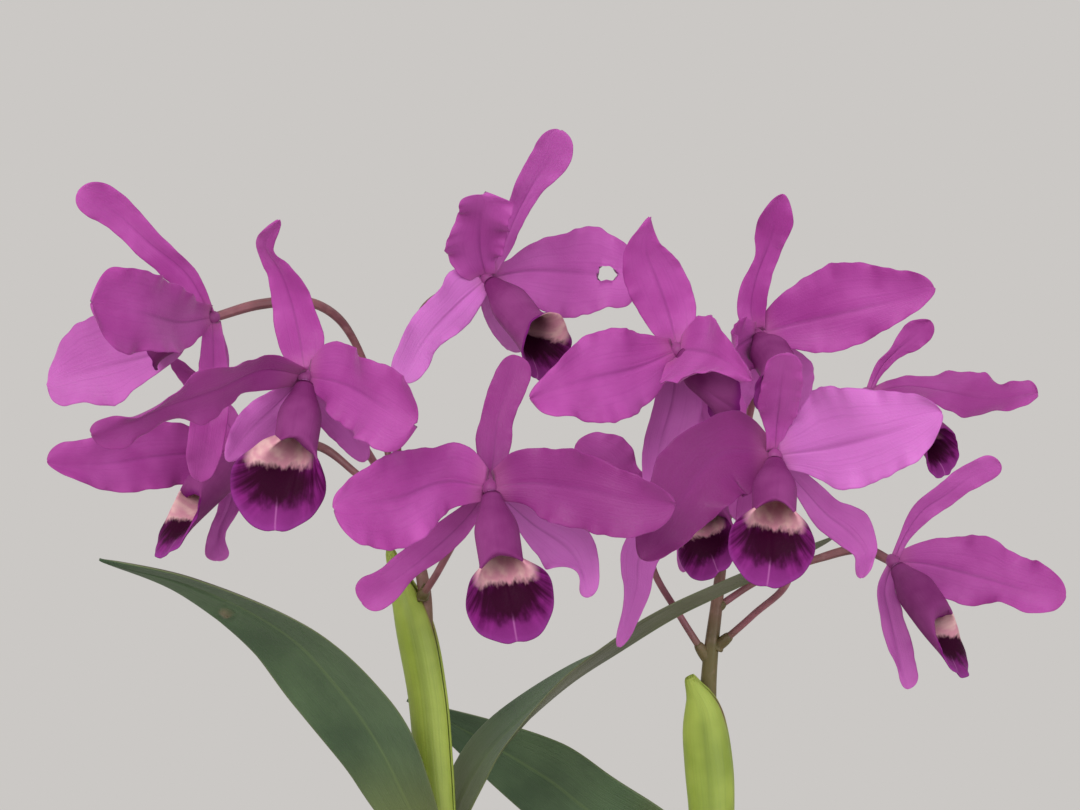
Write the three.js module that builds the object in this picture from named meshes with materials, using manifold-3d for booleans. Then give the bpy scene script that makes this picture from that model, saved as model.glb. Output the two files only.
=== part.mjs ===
// A potted guarianthe bowringiana in flower: a clay pot of bark, a creeping rhizome with six pseudobulbs,
// twelve leaves, and two sprays that carry eleven blooms. Millimetres, +Z up, origin at the pot's base.
import * as THREE from 'three';
import * as BufferGeometryUtils from 'three/addons/utils/BufferGeometryUtils.js';
import Module from 'manifold-3d';

const wasm = await Module();
wasm.setup();

// The sight: a place in the picture (x, y in a frame 1080 by 810) with its depth behind the pot's axis.
const SIGHT = { focal: 2100, range: 500, eyeHeight: 421, middleX: 540, middleY: 405 };

// Driving sizes of the plant and its pot
const POT = { height: 120, baseRadius: 52, neckRadius: 68, rimRadius: 75, rimHeight: 20, wall: 5, floor: 6 };
const DRAIN = { radius: 5, ring: 26, count: 4 };
const BARK = { level: 103, chips: 11, chipSize: 21, ring: 60 };
const GAP = 0.3;
const PETAL_THICKNESS = 0.8;
const LIP_THICKNESS = 0.8;
const LEAF_THICKNESS = 1.6;
const RECEPTACLE_RADIUS = 3;
const BLADE_START = 2;
const COLUMN = { radius: 1.2, length: 8.5 };
const LIP_START = 3.6;
const LIP_TUBE = { startRadius: 2.5, mouthRadius: 4.4 };
const NARROWEST = 0.35;

const VIEW_AXIS = new THREE.Vector3(0, 1, 0);
const UP = new THREE.Vector3(0, 0, 1);

// Places seen in the picture become points in millimetres
function seen([x, y, depth]) {
  const range = SIGHT.range + depth;
  return new THREE.Vector3(
    ((x - SIGHT.middleX) / SIGHT.focal) * range,
    depth,
    SIGHT.eyeHeight - ((y - SIGHT.middleY) / SIGHT.focal) * range,
  );
}

function smooth(x) {
  const t = THREE.MathUtils.clamp(x, 0, 1);
  return t * t * (3 - 2 * t);
}

// A smooth curve through a few points, its parameter sharing out the length of the chords
class Course extends THREE.Curve {
  constructor(points) {
    super();
    this.points = points;
    this.knots = [0];
    for (let i = 1; i < points.length; i += 1) {
      this.knots.push(this.knots[i - 1] + points[i].distanceTo(points[i - 1]));
    }
    const length = this.knots.at(-1);
    this.knots = this.knots.map((knot) => knot / length);
  }

  slope(i) {
    const { points, knots } = this;
    const last = points.length - 1;
    if (i === 0) return points[1].clone().sub(points[0]).divideScalar(knots[1] - knots[0]);
    const [a, b] = i === last ? [last - 1, last] : [i - 1, i + 1];
    return points[b].clone().sub(points[a]).divideScalar(knots[b] - knots[a]);
  }

  getPoint(t, target = new THREE.Vector3()) {
    const { points, knots } = this;
    let i = 0;
    while (i < points.length - 2 && t >= knots[i + 1]) i += 1;
    const step = knots[i + 1] - knots[i];
    const s = (t - knots[i]) / step;
    return target
      .copy(points[i])
      .multiplyScalar(2 * s ** 3 - 3 * s ** 2 + 1)
      .addScaledVector(this.slope(i), (s ** 3 - 2 * s ** 2 + s) * step)
      .addScaledVector(points[i + 1], -2 * s ** 3 + 3 * s ** 2)
      .addScaledVector(this.slope(i + 1), (s ** 3 - s ** 2) * step);
  }
}

// A value along a blade, from a few sizes at even stations
function along(values, u) {
  const last = values.length - 1;
  const i = Math.min(Math.floor(u * last), last - 1);
  const s = u * last - i;
  const before = i > 0 ? values[i - 1] : 2 * values[0] - values[1];
  const after = i < last - 1 ? values[i + 2] : 2 * values[last] - values[last - 1];
  const [a, b] = [values[i], values[i + 1]];
  return 0.5 * (2 * a + (b - before) * s + (2 * before - 5 * a + 4 * b - after) * s ** 2
    + (3 * a - before - 3 * b + after) * s ** 3);
}

function between(values, u) {
  const last = values.length - 1;
  const i = Math.min(Math.floor(u * last), last - 1);
  return THREE.MathUtils.lerp(values[i], values[i + 1], u * last - i);
}

// The frame across a blade at u: one way across it, and its face towards the viewer, turned by its roll
function frameAt(course, u, rollDegrees) {
  const chord = course.points.at(-1).clone().sub(course.points[0]).normalize();
  const tangent = course.getTangent(u);
  const side = VIEW_AXIS.clone().cross(chord);
  side.addScaledVector(tangent, -side.dot(tangent)).normalize();
  const face = side.clone().cross(tangent);
  const roll = THREE.MathUtils.degToRad(rollDegrees);
  return {
    side: side.clone().multiplyScalar(Math.cos(roll)).addScaledVector(face, Math.sin(roll)),
    face: face.multiplyScalar(Math.cos(roll)).addScaledVector(side, -Math.sin(roll)),
  };
}

// A blade's middle surface: v runs across it from -1 to 1, u from its base to its tip.
// It is cupped as an arc of its width, and its edges wave along a sine.
function bladeSurface(blade) {
  const course = new Course(blade.course);
  const { half, roll = [0, 0], cup, wave = 0, tip, round = 2 } = blade;
  const [turns, phase, otherPhase] = [2.5, 0, 0.37];
  return (u, v) => {
    const close = Math.sqrt(Math.max(1 - u ** tip, 0)) ** (2 / round);
    const sizes = Array.isArray(half[0]) ? half[v > 0 ? 1 : 0] : half;
    const width = Math.max(along(sizes, u) * close, NARROWEST);
    const { side, face } = frameAt(course, u, between(roll, u));
    const swell = smooth(u / 0.35) * wave * Math.abs(v) ** 2.2;
    const lift = swell * Math.sin(2 * Math.PI * (turns * u + phase + (v > 0 ? otherPhase : 0)));
    return course.getPoint(u)
      .addScaledVector(side, (Math.sin(cup * v) / cup) * width)
      .addScaledVector(face, ((1 - Math.cos(cup * v)) / cup) * width + lift);
  };
}

// A lip's surface: a tube around the column that opens into a round rim, as a trumpet does.
// v runs round it from -1 to 1 with the tube's front at both ends, u from the tube's base to the rim.
function lipSurface({ centre, mouth, rim, rimRadius, facing }) {
  const axis = mouth.clone().sub(centre).normalize();
  const base = centre.clone().addScaledVector(axis, LIP_START);
  const outward = facing.clone().normalize();
  const front = outward.clone().addScaledVector(axis, -outward.dot(axis)).normalize();
  const across = axis.clone().cross(front);
  const down = axis.clone().addScaledVector(outward, -axis.dot(outward)).normalize();
  const rimAcross = down.clone().cross(outward);
  const tubeShare = 0.45;
  const tubePoint = (s, angle) => {
    const radius = THREE.MathUtils.lerp(LIP_TUBE.startRadius, LIP_TUBE.mouthRadius, smooth(s / 0.55));
    return base.clone().lerp(mouth, s)
      .addScaledVector(front, -radius * Math.cos(angle))
      .addScaledVector(across, radius * Math.sin(angle));
  };
  return (u, v) => {
    const angle = Math.PI * ((((v + 1) % 2) + 2) % 2 - 1);
    if (u <= tubeShare) return tubePoint(u / tubeShare, angle);
    const q = (u - tubeShare) / (1 - tubeShare);
    const notch = 0.06 * Math.exp(-((angle / 0.13) ** 2));
    const apex = 0.04 * Math.exp(-(Math.PI - Math.abs(angle)) / 0.3);
    const ruffle = 0.03 * Math.sin(5 * angle) + 0.015 * Math.sin(9 * angle);
    const radius = rimRadius * (1 + apex - notch + ruffle);
    const ring = tubePoint(1, angle);
    const edge = rim.clone()
      .addScaledVector(down, radius * Math.cos(angle))
      .addScaledVector(rimAcross, radius * Math.sin(angle));
    const control = ring.clone().addScaledVector(axis, 0.5 * ring.distanceTo(edge));
    return ring.multiplyScalar((1 - q) ** 2)
      .addScaledVector(control, 2 * q * (1 - q))
      .addScaledVector(edge, q * q);
  };
}

// A thin closed solid around a surface, split into triangles alike on both faces
function thicken(surface, rows, columns, thickness, { ring = false, start = 0 } = {}) {
  const grid = new THREE.PlaneGeometry(1, 1, columns, rows);
  const { uv } = grid.attributes;
  const nudge = 0.004;
  const [front, back] = [[], []];
  for (let i = 0; i < uv.count; i += 1) {
    const u = 1 - (1 - start) * (1 - uv.getY(i)) ** 1.5;
    const v = 2 * uv.getX(i) - 1;
    const point = surface(u, v);
    const lengthwise = surface(Math.min(u + nudge, 1), v).sub(surface(Math.max(u - nudge, 0), v));
    const crosswise = surface(u, v + nudge).sub(surface(u, v - nudge));
    const normal = lengthwise.cross(crosswise).normalize();
    front.push(...point.clone().addScaledVector(normal, thickness / 2).toArray());
    back.push(...point.clone().addScaledVector(normal, -thickness / 2).toArray());
  }
  const faces = Array.from(grid.index.array);
  const index = [...faces];
  for (let i = 0; i < faces.length; i += 3) {
    index.push(faces[i] + uv.count, faces[i + 2] + uv.count, faces[i + 1] + uv.count);
  }
  const wall = (a, b) => index.push(a, b, a + uv.count, b, b + uv.count, a + uv.count);
  const stride = columns + 1;
  for (let i = 0; i < columns; i += 1) {
    wall(i, i + 1);
    wall(rows * stride + i + 1, rows * stride + i);
  }
  for (let j = 0; j < rows && !ring; j += 1) {
    wall((j + 1) * stride, j * stride);
    wall(j * stride + columns, (j + 1) * stride + columns);
  }
  const geometry = new THREE.BufferGeometry();
  geometry.setAttribute('position', new THREE.Float32BufferAttribute([...front, ...back], 3));
  geometry.setIndex(index);
  return geometry;
}

// A closed tapering limb: a capped cylinder bent along a course, flat times as deep as it is wide
function limb(points, radii, { sides = 8, rows = 8, flat = 1, extra = 0 } = {}) {
  const course = new Course(points);
  const chord = points.at(-1).clone().sub(points[0]).normalize();
  const reference = Math.abs(chord.dot(VIEW_AXIS)) > 0.8 ? UP : VIEW_AXIS;
  const geometry = new THREE.CylinderGeometry(1, 1, 1, sides, rows);
  const { position } = geometry.attributes;
  for (let i = 0; i < position.count; i += 1) {
    const u = THREE.MathUtils.clamp(position.getY(i) + 0.5, 0, 1);
    const tangent = course.getTangent(u);
    const side = reference.clone().cross(tangent).normalize();
    const face = side.clone().cross(tangent);
    const radius = along(radii, u) + extra;
    const overrun = (2 * u - 1) * extra * (u === 0 || u === 1 ? 1 : 0);
    const point = course.getPoint(u)
      .addScaledVector(tangent, overrun)
      .addScaledVector(side, position.getX(i) * radius)
      .addScaledVector(face, position.getZ(i) * (radius * flat + extra * (1 - flat)));
    position.setXYZ(i, point.x, point.y, point.z);
  }
  return geometry;
}

// A three.js geometry as a solid that can be joined and cut
function solid(geometry) {
  const bare = geometry.clone();
  bare.deleteAttribute('normal');
  bare.deleteAttribute('uv');
  const merged = BufferGeometryUtils.mergeVertices(bare, 1e-4);
  const vertices = merged.attributes.position.array;
  const corner = (i) => new THREE.Vector3().fromArray(vertices, 3 * i);
  let triangles = [];
  const { array } = merged.index;
  for (let i = 0; i < array.length; i += 3) {
    const [a, b, c] = array.slice(i, i + 3);
    if (a !== b && b !== c && c !== a) triangles.push([a, b, c]);
  }
  const volume = triangles.reduce((sum, [a, b, c]) => sum + corner(a).dot(corner(b).cross(corner(c))), 0);
  if (volume < 0) triangles = triangles.map(([a, b, c]) => [a, c, b]);
  const mesh = new wasm.Mesh({
    numProp: 3,
    vertProperties: Float32Array.from(vertices),
    triVerts: Uint32Array.from(triangles.flat()),
  });
  return new wasm.Manifold(mesh);
}

function join(solids) {
  return solids.reduce((whole, piece) => whole.add(piece));
}

function largestBody(whole) {
  return whole.decompose().reduce((best, piece) => (piece.volume() > best.volume() ? piece : best));
}

function ball(centre, radius) {
  const geometry = new THREE.IcosahedronGeometry(radius, 0);
  geometry.translate(centre.x, centre.y, centre.z);
  return solid(geometry);
}

// The eleven blooms, as seen. A bloom's blades are its dorsal sepal, its two petals and its two lateral
// sepals. Each blade lists its course after the bloom's centre, its half width in millimetres from base to
// tip, its roll in degrees, its cup, its wave in millimetres and its tip's bluntness. A blade whose two
// sides differ lists a half width for each: first the side with v below 0, then the other.
const BLOOMS = [
  {
    centre: [212, 318, -5],
    blades: [
      { course: [[188, 275, -8], [150, 243, -12], [112, 210, -16], [77, 193, -20]],
        half: [[1.6, 4.6, 4, 4, 5.4], [1.4, 2.4, 3.2, 4.6, 7]],
        roll: [25, 10, 0], cup: 0.4, wave: 0.3, tip: 11 },
      { course: [[180, 322, -20], [145, 314, -34], [91, 303, -44]],
        half: [[3, 4, 7, 7.6, 8.5, 10.5, 7], [3, 4.5, 6.8, 8.4, 9.2, 10, 12]], cup: 0.4, wave: 1, tip: 12 },
      { course: [[160, 352, 6], [105, 366, 12], [47, 384, 16]],
        half: [[2, 2, 3.4, 6.4, 10.4, 8, 10], [2.5, 5.5, 10, 12, 12.5, 10.5, 7]],
        roll: [10, 0, -10], cup: 0.3, wave: 1.1, tip: 12 },
      { course: [[213, 352, -12], [213, 390, -16], [207, 435, -18], [199, 481, -14]],
        half: [2, 3, 4.1, 4.5, 4.9], roll: [20, 10, 0], cup: 0.4, wave: 0.3, tip: 8 },
      { course: [[215, 348, 6], [213, 395, 14], [202, 440, 20]],
        half: [1.6, 3, 4, 4, 3.6], cup: 0.3, wave: 0.3, tip: 6 },
    ],
    lip: { mouth: [168, 334, -6], rim: [142, 340, -2], rimRadius: 8, facing: [-0.9, -0.1, -0.3] },
  },
  {
    centre: [306, 376, -42],
    blades: [
      { course: [[299, 336, -40], [291, 302, -40], [280, 270, -43], [266, 245, -47], [279, 220, -54]],
        half: [[2.2, 4.6, 4.8, 3.6, 3.2, 2.4, 2], [2, 5.4, 5, 4.6, 2.2, 2.3, 2]],
        roll: [0, 0, 10, 30, 20], cup: 0.3, wave: 0.2, tip: 7 },
      { course: [[262, 371, -48], [215, 389, -56], [165, 408, -62], [130, 423, -65], [91, 434, -68]],
        half: [[2.5, 4.6, 6.2, 7, 4, 4.4, 6.5], [2.5, 5.2, 7, 7.4, 3.8, 2.6, 4.5]],
        roll: [55, 52, 50, 45, 35], cup: 0.4, wave: 1.2, tip: 10 },
      { course: [[345, 384, -50], [380, 403, -60], [415, 424, -66]],
        half: [[3, 8, 8.6, 7.6, 8.2, 8.2, 7], [2.5, 4.4, 7.2, 8.4, 8.8, 9.2, 12]],
        roll: [0, -10, 0], cup: 0.4, wave: 1.2, tip: 12 },
      { course: [[276, 405, -40], [250, 430, -42], [227, 461, -46]],
        half: [[2, 3.2, 5.6, 4, 3], [2, 2.8, 4.2, 3.8, 2.6]], roll: [10, 0], cup: 0.3, wave: 0.3, tip: 7 },
      { course: [[331, 408, -38], [351, 432, -38], [366, 461, -40]],
        half: [[2, 2.8, 3, 3, 2.8], [2, 4, 4.6, 4.2, 3.2]], roll: [10, 10], cup: 0.3, wave: 0.3, tip: 7 },
    ],
    lip: { mouth: [296, 444, -52], rim: [277, 484, -54], rimRadius: 10.2, facing: [-0.05, -1, 0.1] },
  },
  {
    centre: [245, 452, 12],
    blades: [
      { course: [[225, 420, 12], [200, 387, 10], [171, 357, 6]],
        half: [[2, 2.8, 3.2, 3, 2.6], [2, 4.4, 3.9, 2.6, 1.8]], roll: [30, 10], cup: 0.3, wave: 0.3, tip: 6 },
      { course: [[200, 452, 8], [150, 457, 2], [100, 464, -4], [47, 461, -8]],
        half: [[3, 6.2, 7.6, 7.8, 7.4, 4.8, 3], [3, 4.2, 7.4, 9, 8.4, 6.4, 7]],
        cup: 0.3, wave: 1.2, tip: 10 },
      { course: [[262, 470, 24], [280, 495, 34], [288, 515, 40]],
        half: [3, 7, 8, 7, 6], roll: [40, 40], cup: 0.4, wave: 1, tip: 6 },
      { course: [[237, 480, 10], [228, 510, 7], [219, 532, 4], [217, 561, 2]],
        half: [[1.6, 2, 2.4, 2.6, 1.9, 2, 5], [1.6, 2.4, 2.7, 2.7, 2.2, 2.8, 4.6]],
        roll: [20, 10, 0], cup: 0.3, wave: 0.4, tip: 14 },
      { course: [[265, 430, 22], [280, 425, 34], [300, 440, 44]],
        half: [2, 4, 4, 4, 3], roll: [30, 30], cup: 0.3, wave: 0.3, tip: 6 },
    ],
    lip: { mouth: [205, 489, -2], rim: [175, 524, -8], rimRadius: 8.8, facing: [-0.7, -0.4, 0.5] },
  },
  {
    centre: [487, 278, 8],
    bitten: { petal: 2, at: [608, 272], radius: 2.4 },
    blades: [
      { course: [[505, 243, 8], [518, 212, 5], [532, 185, 0], [548, 160, -4], [560, 130, -8]],
        half: [[1.6, 1.6, 2.6, 3.2, 4.1, 4.6, 5], [1.6, 2.2, 2.6, 2.8, 3.4, 5.4, 6.5]],
        roll: [20, 20, 0, 0], cup: 0.3, wave: 0.3, tip: 12 },
      { course: [[480, 250, 2], [480, 222, -4], [483, 194, -10]],
        half: [[3, 6.4, 8.2, 8.4, 6.2, 5.5, 7.5], [2.5, 3, 5.4, 6.6, 7.4, 7.6, 12]],
        roll: [-10, 10], cup: 0.5, wave: 1.6, tip: 14 },
      { course: [[530, 270, 12], [580, 272, 16], [640, 277, 16]],
        half: [[2.5, 3.4, 7, 9.2, 11.6, 10, 8], [2.5, 6, 9.8, 11.6, 10.8, 9, 12]],
        cup: 0.2, wave: 0.6, tip: 10 },
      { course: [[452, 309, 2], [425, 339, -4], [401, 382, -8]],
        half: [[2, 4, 5.4, 5, 3.8, 4.5, 5], [2.5, 7, 5.6, 5.6, 5.5, 5, 6]],
        roll: [0, 10, 0], cup: 0.3, wave: 0.8, tip: 10 },
      { course: [[497, 305, 16], [510, 332, 24], [520, 352, 30]],
        half: [2, 4, 4.4, 4, 3.4], roll: [10, 10], cup: 0.3, wave: 0.3, tip: 6 },
    ],
    lip: { mouth: [527, 326, -6], rim: [550, 348, -10], rimRadius: 8.4, facing: [0.72, -0.65, -0.1] },
  },
  {
    centre: [490, 487, -48],
    blades: [
      { course: [[494, 450, -46], [498, 420, -45], [507, 390, -43], [516, 355, -42]],
        half: [[2, 3, 4.3, 3.8, 4.1, 3.9, 3.6], [2, 2.8, 3.7, 3.4, 3.8, 4.8, 6]],
        cup: 0.3, wave: 0.2, tip: 10 },
      { course: [[445, 482, -50], [395, 498, -58], [334, 509, -64]],
        half: [[3, 5.2, 7.2, 9.2, 11, 10, 10], [3, 8.2, 8, 9.4, 9.4, 7.6, 6]], cup: 0.3, wave: 0.8, tip: 10 },
      { course: [[540, 483, -53], [590, 490, -60], [635, 500, -65], [675, 504, -68]],
        half: [[3, 7.2, 7.6, 8.2, 6.2, 5.6, 4.6], [3, 4.4, 7.6, 8.6, 8.8, 8.2, 7]],
        roll: [0, 0, -5], cup: 0.35, wave: 1.2, tip: 10 },
      { course: [[458, 527, -42], [415, 565, -40], [361, 602, -38]],
        half: [[1.8, 2.2, 2.8, 2.8, 2.2, 4, 5.6], [1.8, 2.2, 3.6, 4.2, 4.4, 4.2, 6.8]],
        roll: [0, 0, 10], cup: 0.3, wave: 0.3, tip: 14 },
      { course: [[530, 522, -42], [572, 553, -42], [590, 597, -46]],
        half: [[2, 3.4, 4.6, 5.2, 5.9, 4.2, 3.2], [2, 1.6, 2.9, 5, 6.6, 1, 3.2]],
        roll: [0, 0, 20], cup: 0.3, wave: 0.4, tip: 16 },
    ],
    lip: { mouth: [501, 560, -60], rim: [510, 600, -60], rimRadius: 9.4, facing: [0, -1, 0.05] },
  },
  {
    centre: [678, 350, -25],
    blades: [
      { course: [[668, 312, -24], [657, 280, -26], [646, 248, -30], [650, 217, -34]],
        half: [[2, 5, 6.4, 7.2, 6.8, 4.8, 2.6], [2, 5.6, 6.8, 6.6, 5.6, 3.4, 1]],
        cup: 0.3, wave: 0.3, tip: 8, round: 1.4 },
      { course: [[640, 366, -30], [590, 378, -38], [530, 398, -44]],
        half: [[2.5, 5.8, 9.2, 11, 10.4, 7.4, 8], [2.5, 6.4, 9, 9.8, 8.4, 5.2, 3]],
        cup: 0.3, wave: 0.8, tip: 9 },
      { course: [[697, 350, -36], [718, 356, -48], [752, 381, -58]],
        half: [[3, 7, 8.5, 7, 4.5, 3, 2], [3, 9.5, 11.5, 10, 6, 3, 2]],
        roll: [0, 10], cup: 0.6, wave: 0.6, tip: 9 },
      { course: [[672, 400, -22], [660, 445, -22], [652, 500, -26]],
        half: [[3, 6.4, 7.4, 6, 4], [3, 4, 3.9, 4, 3.4]], cup: 0.3, wave: 0.4, tip: 6 },
      { course: [[695, 390, -16], [706, 430, -12], [716, 470, -10]],
        half: [3, 5.4, 6, 5, 4], cup: 0.3, wave: 0.3, tip: 6 },
    ],
    lip: { mouth: [716, 384, -36], rim: [727, 398, -38], rimRadius: 6.6, facing: [0.86, 0.5, 0] },
  },
  {
    centre: [775, 455, -45],
    blades: [
      { course: [[777, 424, -48], [780, 395, -56], [785, 353, -66]],
        half: [[2, 2.4, 3.8, 4.8, 4.5, 4.6, 6], [2, 2.2, 3.8, 4.4, 4.6, 4.5, 5.4]],
        cup: 0.4, wave: 0.3, tip: 10 },
      { course: [[720, 455, -49], [685, 495, -53], [643, 560, -57]],
        half: [[3, 10, 10.6, 9.4, 7.4, 6.2, 4.6], [3, 9.4, 8, 9.6, 7.8, 6.6, 4.6]],
        roll: [-10, -10], cup: 0.3, wave: 1, tip: 9 },
      { course: [[825, 448, -50], [880, 434, -58], [942, 413, -64]],
        half: [[3, 8.4, 13, 12.4, 9.8, 7.8, 6.6], [3, 5, 9.2, 9.8, 8.8, 7.8, 4.4]],
        cup: 0.25, wave: 0.8, tip: 10 },
      { course: [[800, 485, -42], [825, 513, -40], [850, 533, -40], [866, 553, -42], [862, 578, -46]],
        half: [[2, 2.5, 3.5, 4.1, 5.6, 2.8, 3.2], [2, 1.8, 2.5, 3.6, 3.7, 2.9, 3.4]],
        cup: 0.3, wave: 0.4, tip: 10 },
      { course: [[761, 490, -36], [750, 525, -34], [744, 552, -34]],
        half: [2, 4, 4.6, 4, 3], cup: 0.3, wave: 0.3, tip: 6 },
    ],
    lip: { mouth: [774, 512, -58], rim: [772, 545, -60], rimRadius: 9, facing: [0, -1, 0.1] },
  },
  {
    centre: [700, 470, 5],
    blades: [
      { course: [[715, 440, 8], [730, 415, 12], [738, 390, 16]],
        half: [2, 4, 4.4, 4, 3], cup: 0.3, wave: 0.3, tip: 6 },
      { course: [[668, 480, 12], [635, 482, 14], [605, 464, 13], [577, 442, 12]],
        half: [[2, 3.5, 5, 6, 5], [2, 2.4, 3.4, 8.4, 7]], roll: [10, 10], cup: 0.3, wave: 0.8, tip: 9 },
      { course: [[735, 485, 14], [765, 500, 22], [792, 515, 26]],
        half: [3, 7, 8, 7, 5], roll: [10, 10], cup: 0.3, wave: 0.9, tip: 6 },
      { course: [[668, 515, -2], [640, 555, -8], [636, 590, -13], [619, 647, -18]],
        half: [[2, 3.6, 4.1, 4.8, 3.8, 2.9, 2.6], [2, 2.4, 3.8, 4.8, 4.2, 2.2, 2.6]],
        cup: 0.4, wave: 0.3, tip: 9 },
      { course: [[700, 510, 16], [690, 545, 22], [682, 572, 24]],
        half: [2, 4, 4.4, 4, 3], cup: 0.3, wave: 0.3, tip: 6 },
    ],
    lip: { mouth: [710, 516, -10], rim: [706, 546, -12], rimRadius: 8, facing: [-0.5, -0.65, 0.3] },
  },
  {
    centre: [757, 335, 8],
    blades: [
      { course: [[751, 308, 7], [758, 272, 4], [768, 246, 1], [775, 222, -3], [783, 194, -7]],
        half: [[2.6, 3.4, 3.2, 2, 3.9, 4.4, 3.2], [2.2, 3.8, 3.8, 3.6, 3.7, 4.8, 3]],
        roll: [10, 10, 10, 0], cup: 0.4, wave: 0.3, tip: 9 },
      { course: [[743, 342, 0], [735, 354, -8], [738, 376, -16]],
        half: [3, 5.6, 6.2, 5, 4], roll: [40, 40], cup: 0.5, wave: 1, tip: 6 },
      { course: [[800, 322, 6], [850, 311, 2], [900, 299, -4], [934, 287, -8]],
        half: [[2.6, 7.2, 10.4, 12.2, 10.4, 7.8, 7], [2.4, 6, 8.6, 8.6, 6.8, 5, 3.8]],
        cup: 0.25, wave: 0.8, tip: 10 },
      { course: [[775, 365, 12], [788, 395, 16], [796, 420, 18]],
        half: [[2, 5, 8.3, 7, 3.5], [2, 4, 4.6, 4, 3]], cup: 0.3, wave: 0.3, tip: 6 },
      { course: [[745, 370, 16], [735, 400, 20], [728, 430, 22]],
        half: [2, 4, 4.6, 4, 3], cup: 0.3, wave: 0.3, tip: 6 },
    ],
    lip: { mouth: [778, 368, -8], rim: [780, 393, -10], rimRadius: 6.6, facing: [0.4, -0.8, -0.2] },
  },
  {
    centre: [868, 394, 60],
    blades: [
      { course: [[881, 368, 60], [897, 350, 58], [912, 337, 56], [931, 321, 54]],
        half: [[1, 1.4, 1.8, 1.6, 3, 4.1, 2.8], [1, 1, 1.6, 2, 3.4, 4.1, 4.6]],
        roll: [10, 0, 0], cup: 0.3, wave: 0.3, tip: 10 },
      { course: [[905, 386, 58], [945, 391, 54], [988, 399, 48], [1038, 393, 44]],
        half: [[2, 3, 4.8, 6, 8.4, 4.4, 7.5], [2, 5, 6, 6, 7.6, 6.2, 4.5]],
        roll: [50, 45, 40, 50], cup: 0.3, wave: 1.2, tip: 10 },
      { course: [[850, 420, 66], [845, 440, 72], [850, 458, 76]],
        half: [3, 6, 7, 6, 5], roll: [20, 20], cup: 0.3, wave: 0.8, tip: 6 },
      { course: [[885, 415, 62], [898, 438, 64], [905, 456, 64]],
        half: [2, 3.6, 4, 4, 3], cup: 0.3, wave: 0.3, tip: 6 },
      { course: [[862, 425, 72], [868, 448, 78], [874, 470, 80]],
        half: [2, 3.6, 4, 4, 3], cup: 0.3, wave: 0.3, tip: 6 },
    ],
    lip: { mouth: [923, 430, 48], rim: [945, 454, 44], rimRadius: 6.4, facing: [0.6, -0.75, -0.1] },
  },
  {
    centre: [893, 562, 15],
    blades: [
      { course: [[907, 532, 14], [923, 510, 12], [947, 494, 10], [973, 475, 7], [1001, 464, 5]],
        half: [[1, 1.2, 2.2, 3, 3.4, 3.6, 5.4], [1, 1.4, 2.6, 3, 2.8, 3.4, 3.8]],
        roll: [10, 0, 0], cup: 0.4, wave: 0.3, tip: 12 },
      { course: [[930, 564, 12], [980, 577, 6], [1025, 590, 0], [1066, 595, -4]],
        half: [[2, 5.4, 8.4, 9.8, 8, 7.8, 6.4], [2, 5, 7.4, 7.6, 4.6, 6, 5.6]],
        roll: [10, 10], cup: 0.3, wave: 1.2, tip: 10 },
      { course: [[907, 569, 26], [935, 576, 38], [962, 586, 46]],
        half: [2.5, 5, 5.5, 5.5, 4.5], roll: [20, 20], cup: 0.3, wave: 1, tip: 6 },
      { course: [[885, 590, 12], [889, 615, 11], [897, 650, 9], [909, 689, 6]],
        half: [[1, 2, 3.2, 3.4, 4.1, 3.6, 4.2], [1, 1.8, 2.2, 2.4, 2.2, 1.4, 2.6]],
        cup: 0.4, wave: 0.4, tip: 12 },
      { course: [[915, 596, 26], [938, 622, 34], [956, 648, 40]],
        half: [1.6, 2.6, 3.2, 3.2, 2.6], cup: 0.3, wave: 0.3, tip: 6 },
    ],
    lip: { mouth: [931, 613, 2], rim: [954, 646, 1], rimRadius: 8, facing: [0.78, -0.42, 0.45] },
  },
];

// The two sprays, as seen: the peduncle out of its sheath, and a pedicel to each bloom, numbered from 1
const SPRAYS = {
  left: {
    peduncle: {
      course: [[440, 850, -2], [434, 770, -3], [428, 690, -3], [426, 630, -3], [424, 590, -2], [414, 540, 0]],
      radii: [2.0, 2.0, 1.9, 1.8, 1.6, 1.3],
    },
    pedicels: [
      { bloom: 1, course: [[414, 542, 0], [392, 470, 14], [372, 385, 18], [345, 326, 14], [312, 303, 8],
        [262, 304, 2]] },
      { bloom: 2, course: [[417, 548, -1], [395, 500, -10], [360, 440, -22], [330, 400, -30]] },
      { bloom: 3, course: [[416, 552, 0], [388, 505, 12], [352, 470, 20], [318, 446, 22], [276, 447, 18]] },
      { bloom: 4, course: [[414, 538, 2], [398, 450, 16], [402, 370, 22], [424, 310, 22], [458, 288, 16]] },
      { bloom: 5, course: [[422, 596, -4], [436, 575, -12], [455, 540, -24], [474, 508, -34]] },
    ],
  },
  right: {
    peduncle: {
      course: [[712, 862, 13], [711, 770, 14], [708, 700, 14], [711, 650, 14], [717, 600, 15],
        [724, 540, 18]],
      radii: [2.3, 2.3, 2.2, 1.9, 1.5, 1.2],
    },
    pedicels: [
      { bloom: 6, course: [[708, 660, 14], [680, 616, 12], [653, 568, 12], [648, 500, 0], [664, 420, -10]] },
      { bloom: 7, course: [[718, 646, 14], [752, 616, 8], [788, 580, -8], [790, 512, -25]] },
      { bloom: 8, course: [[722, 550, 17], [716, 510, 16]] },
      { bloom: 9, course: [[723, 545, 18], [738, 470, 26], [752, 400, 24]] },
      { bloom: 10, course: [[722, 556, 17], [770, 500, 40], [830, 430, 62]] },
      { bloom: 11, course: [[716, 608, 15], [760, 580, 17], [820, 558, 20], [862, 549, 20]] },
    ],
  },
};
const PEDICEL_RADII = [1.05, 0.95, 0.95, 1.0, 1.25];
const PEDUNCLE_MESH = { sides: 7, rows: 9 };

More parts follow.
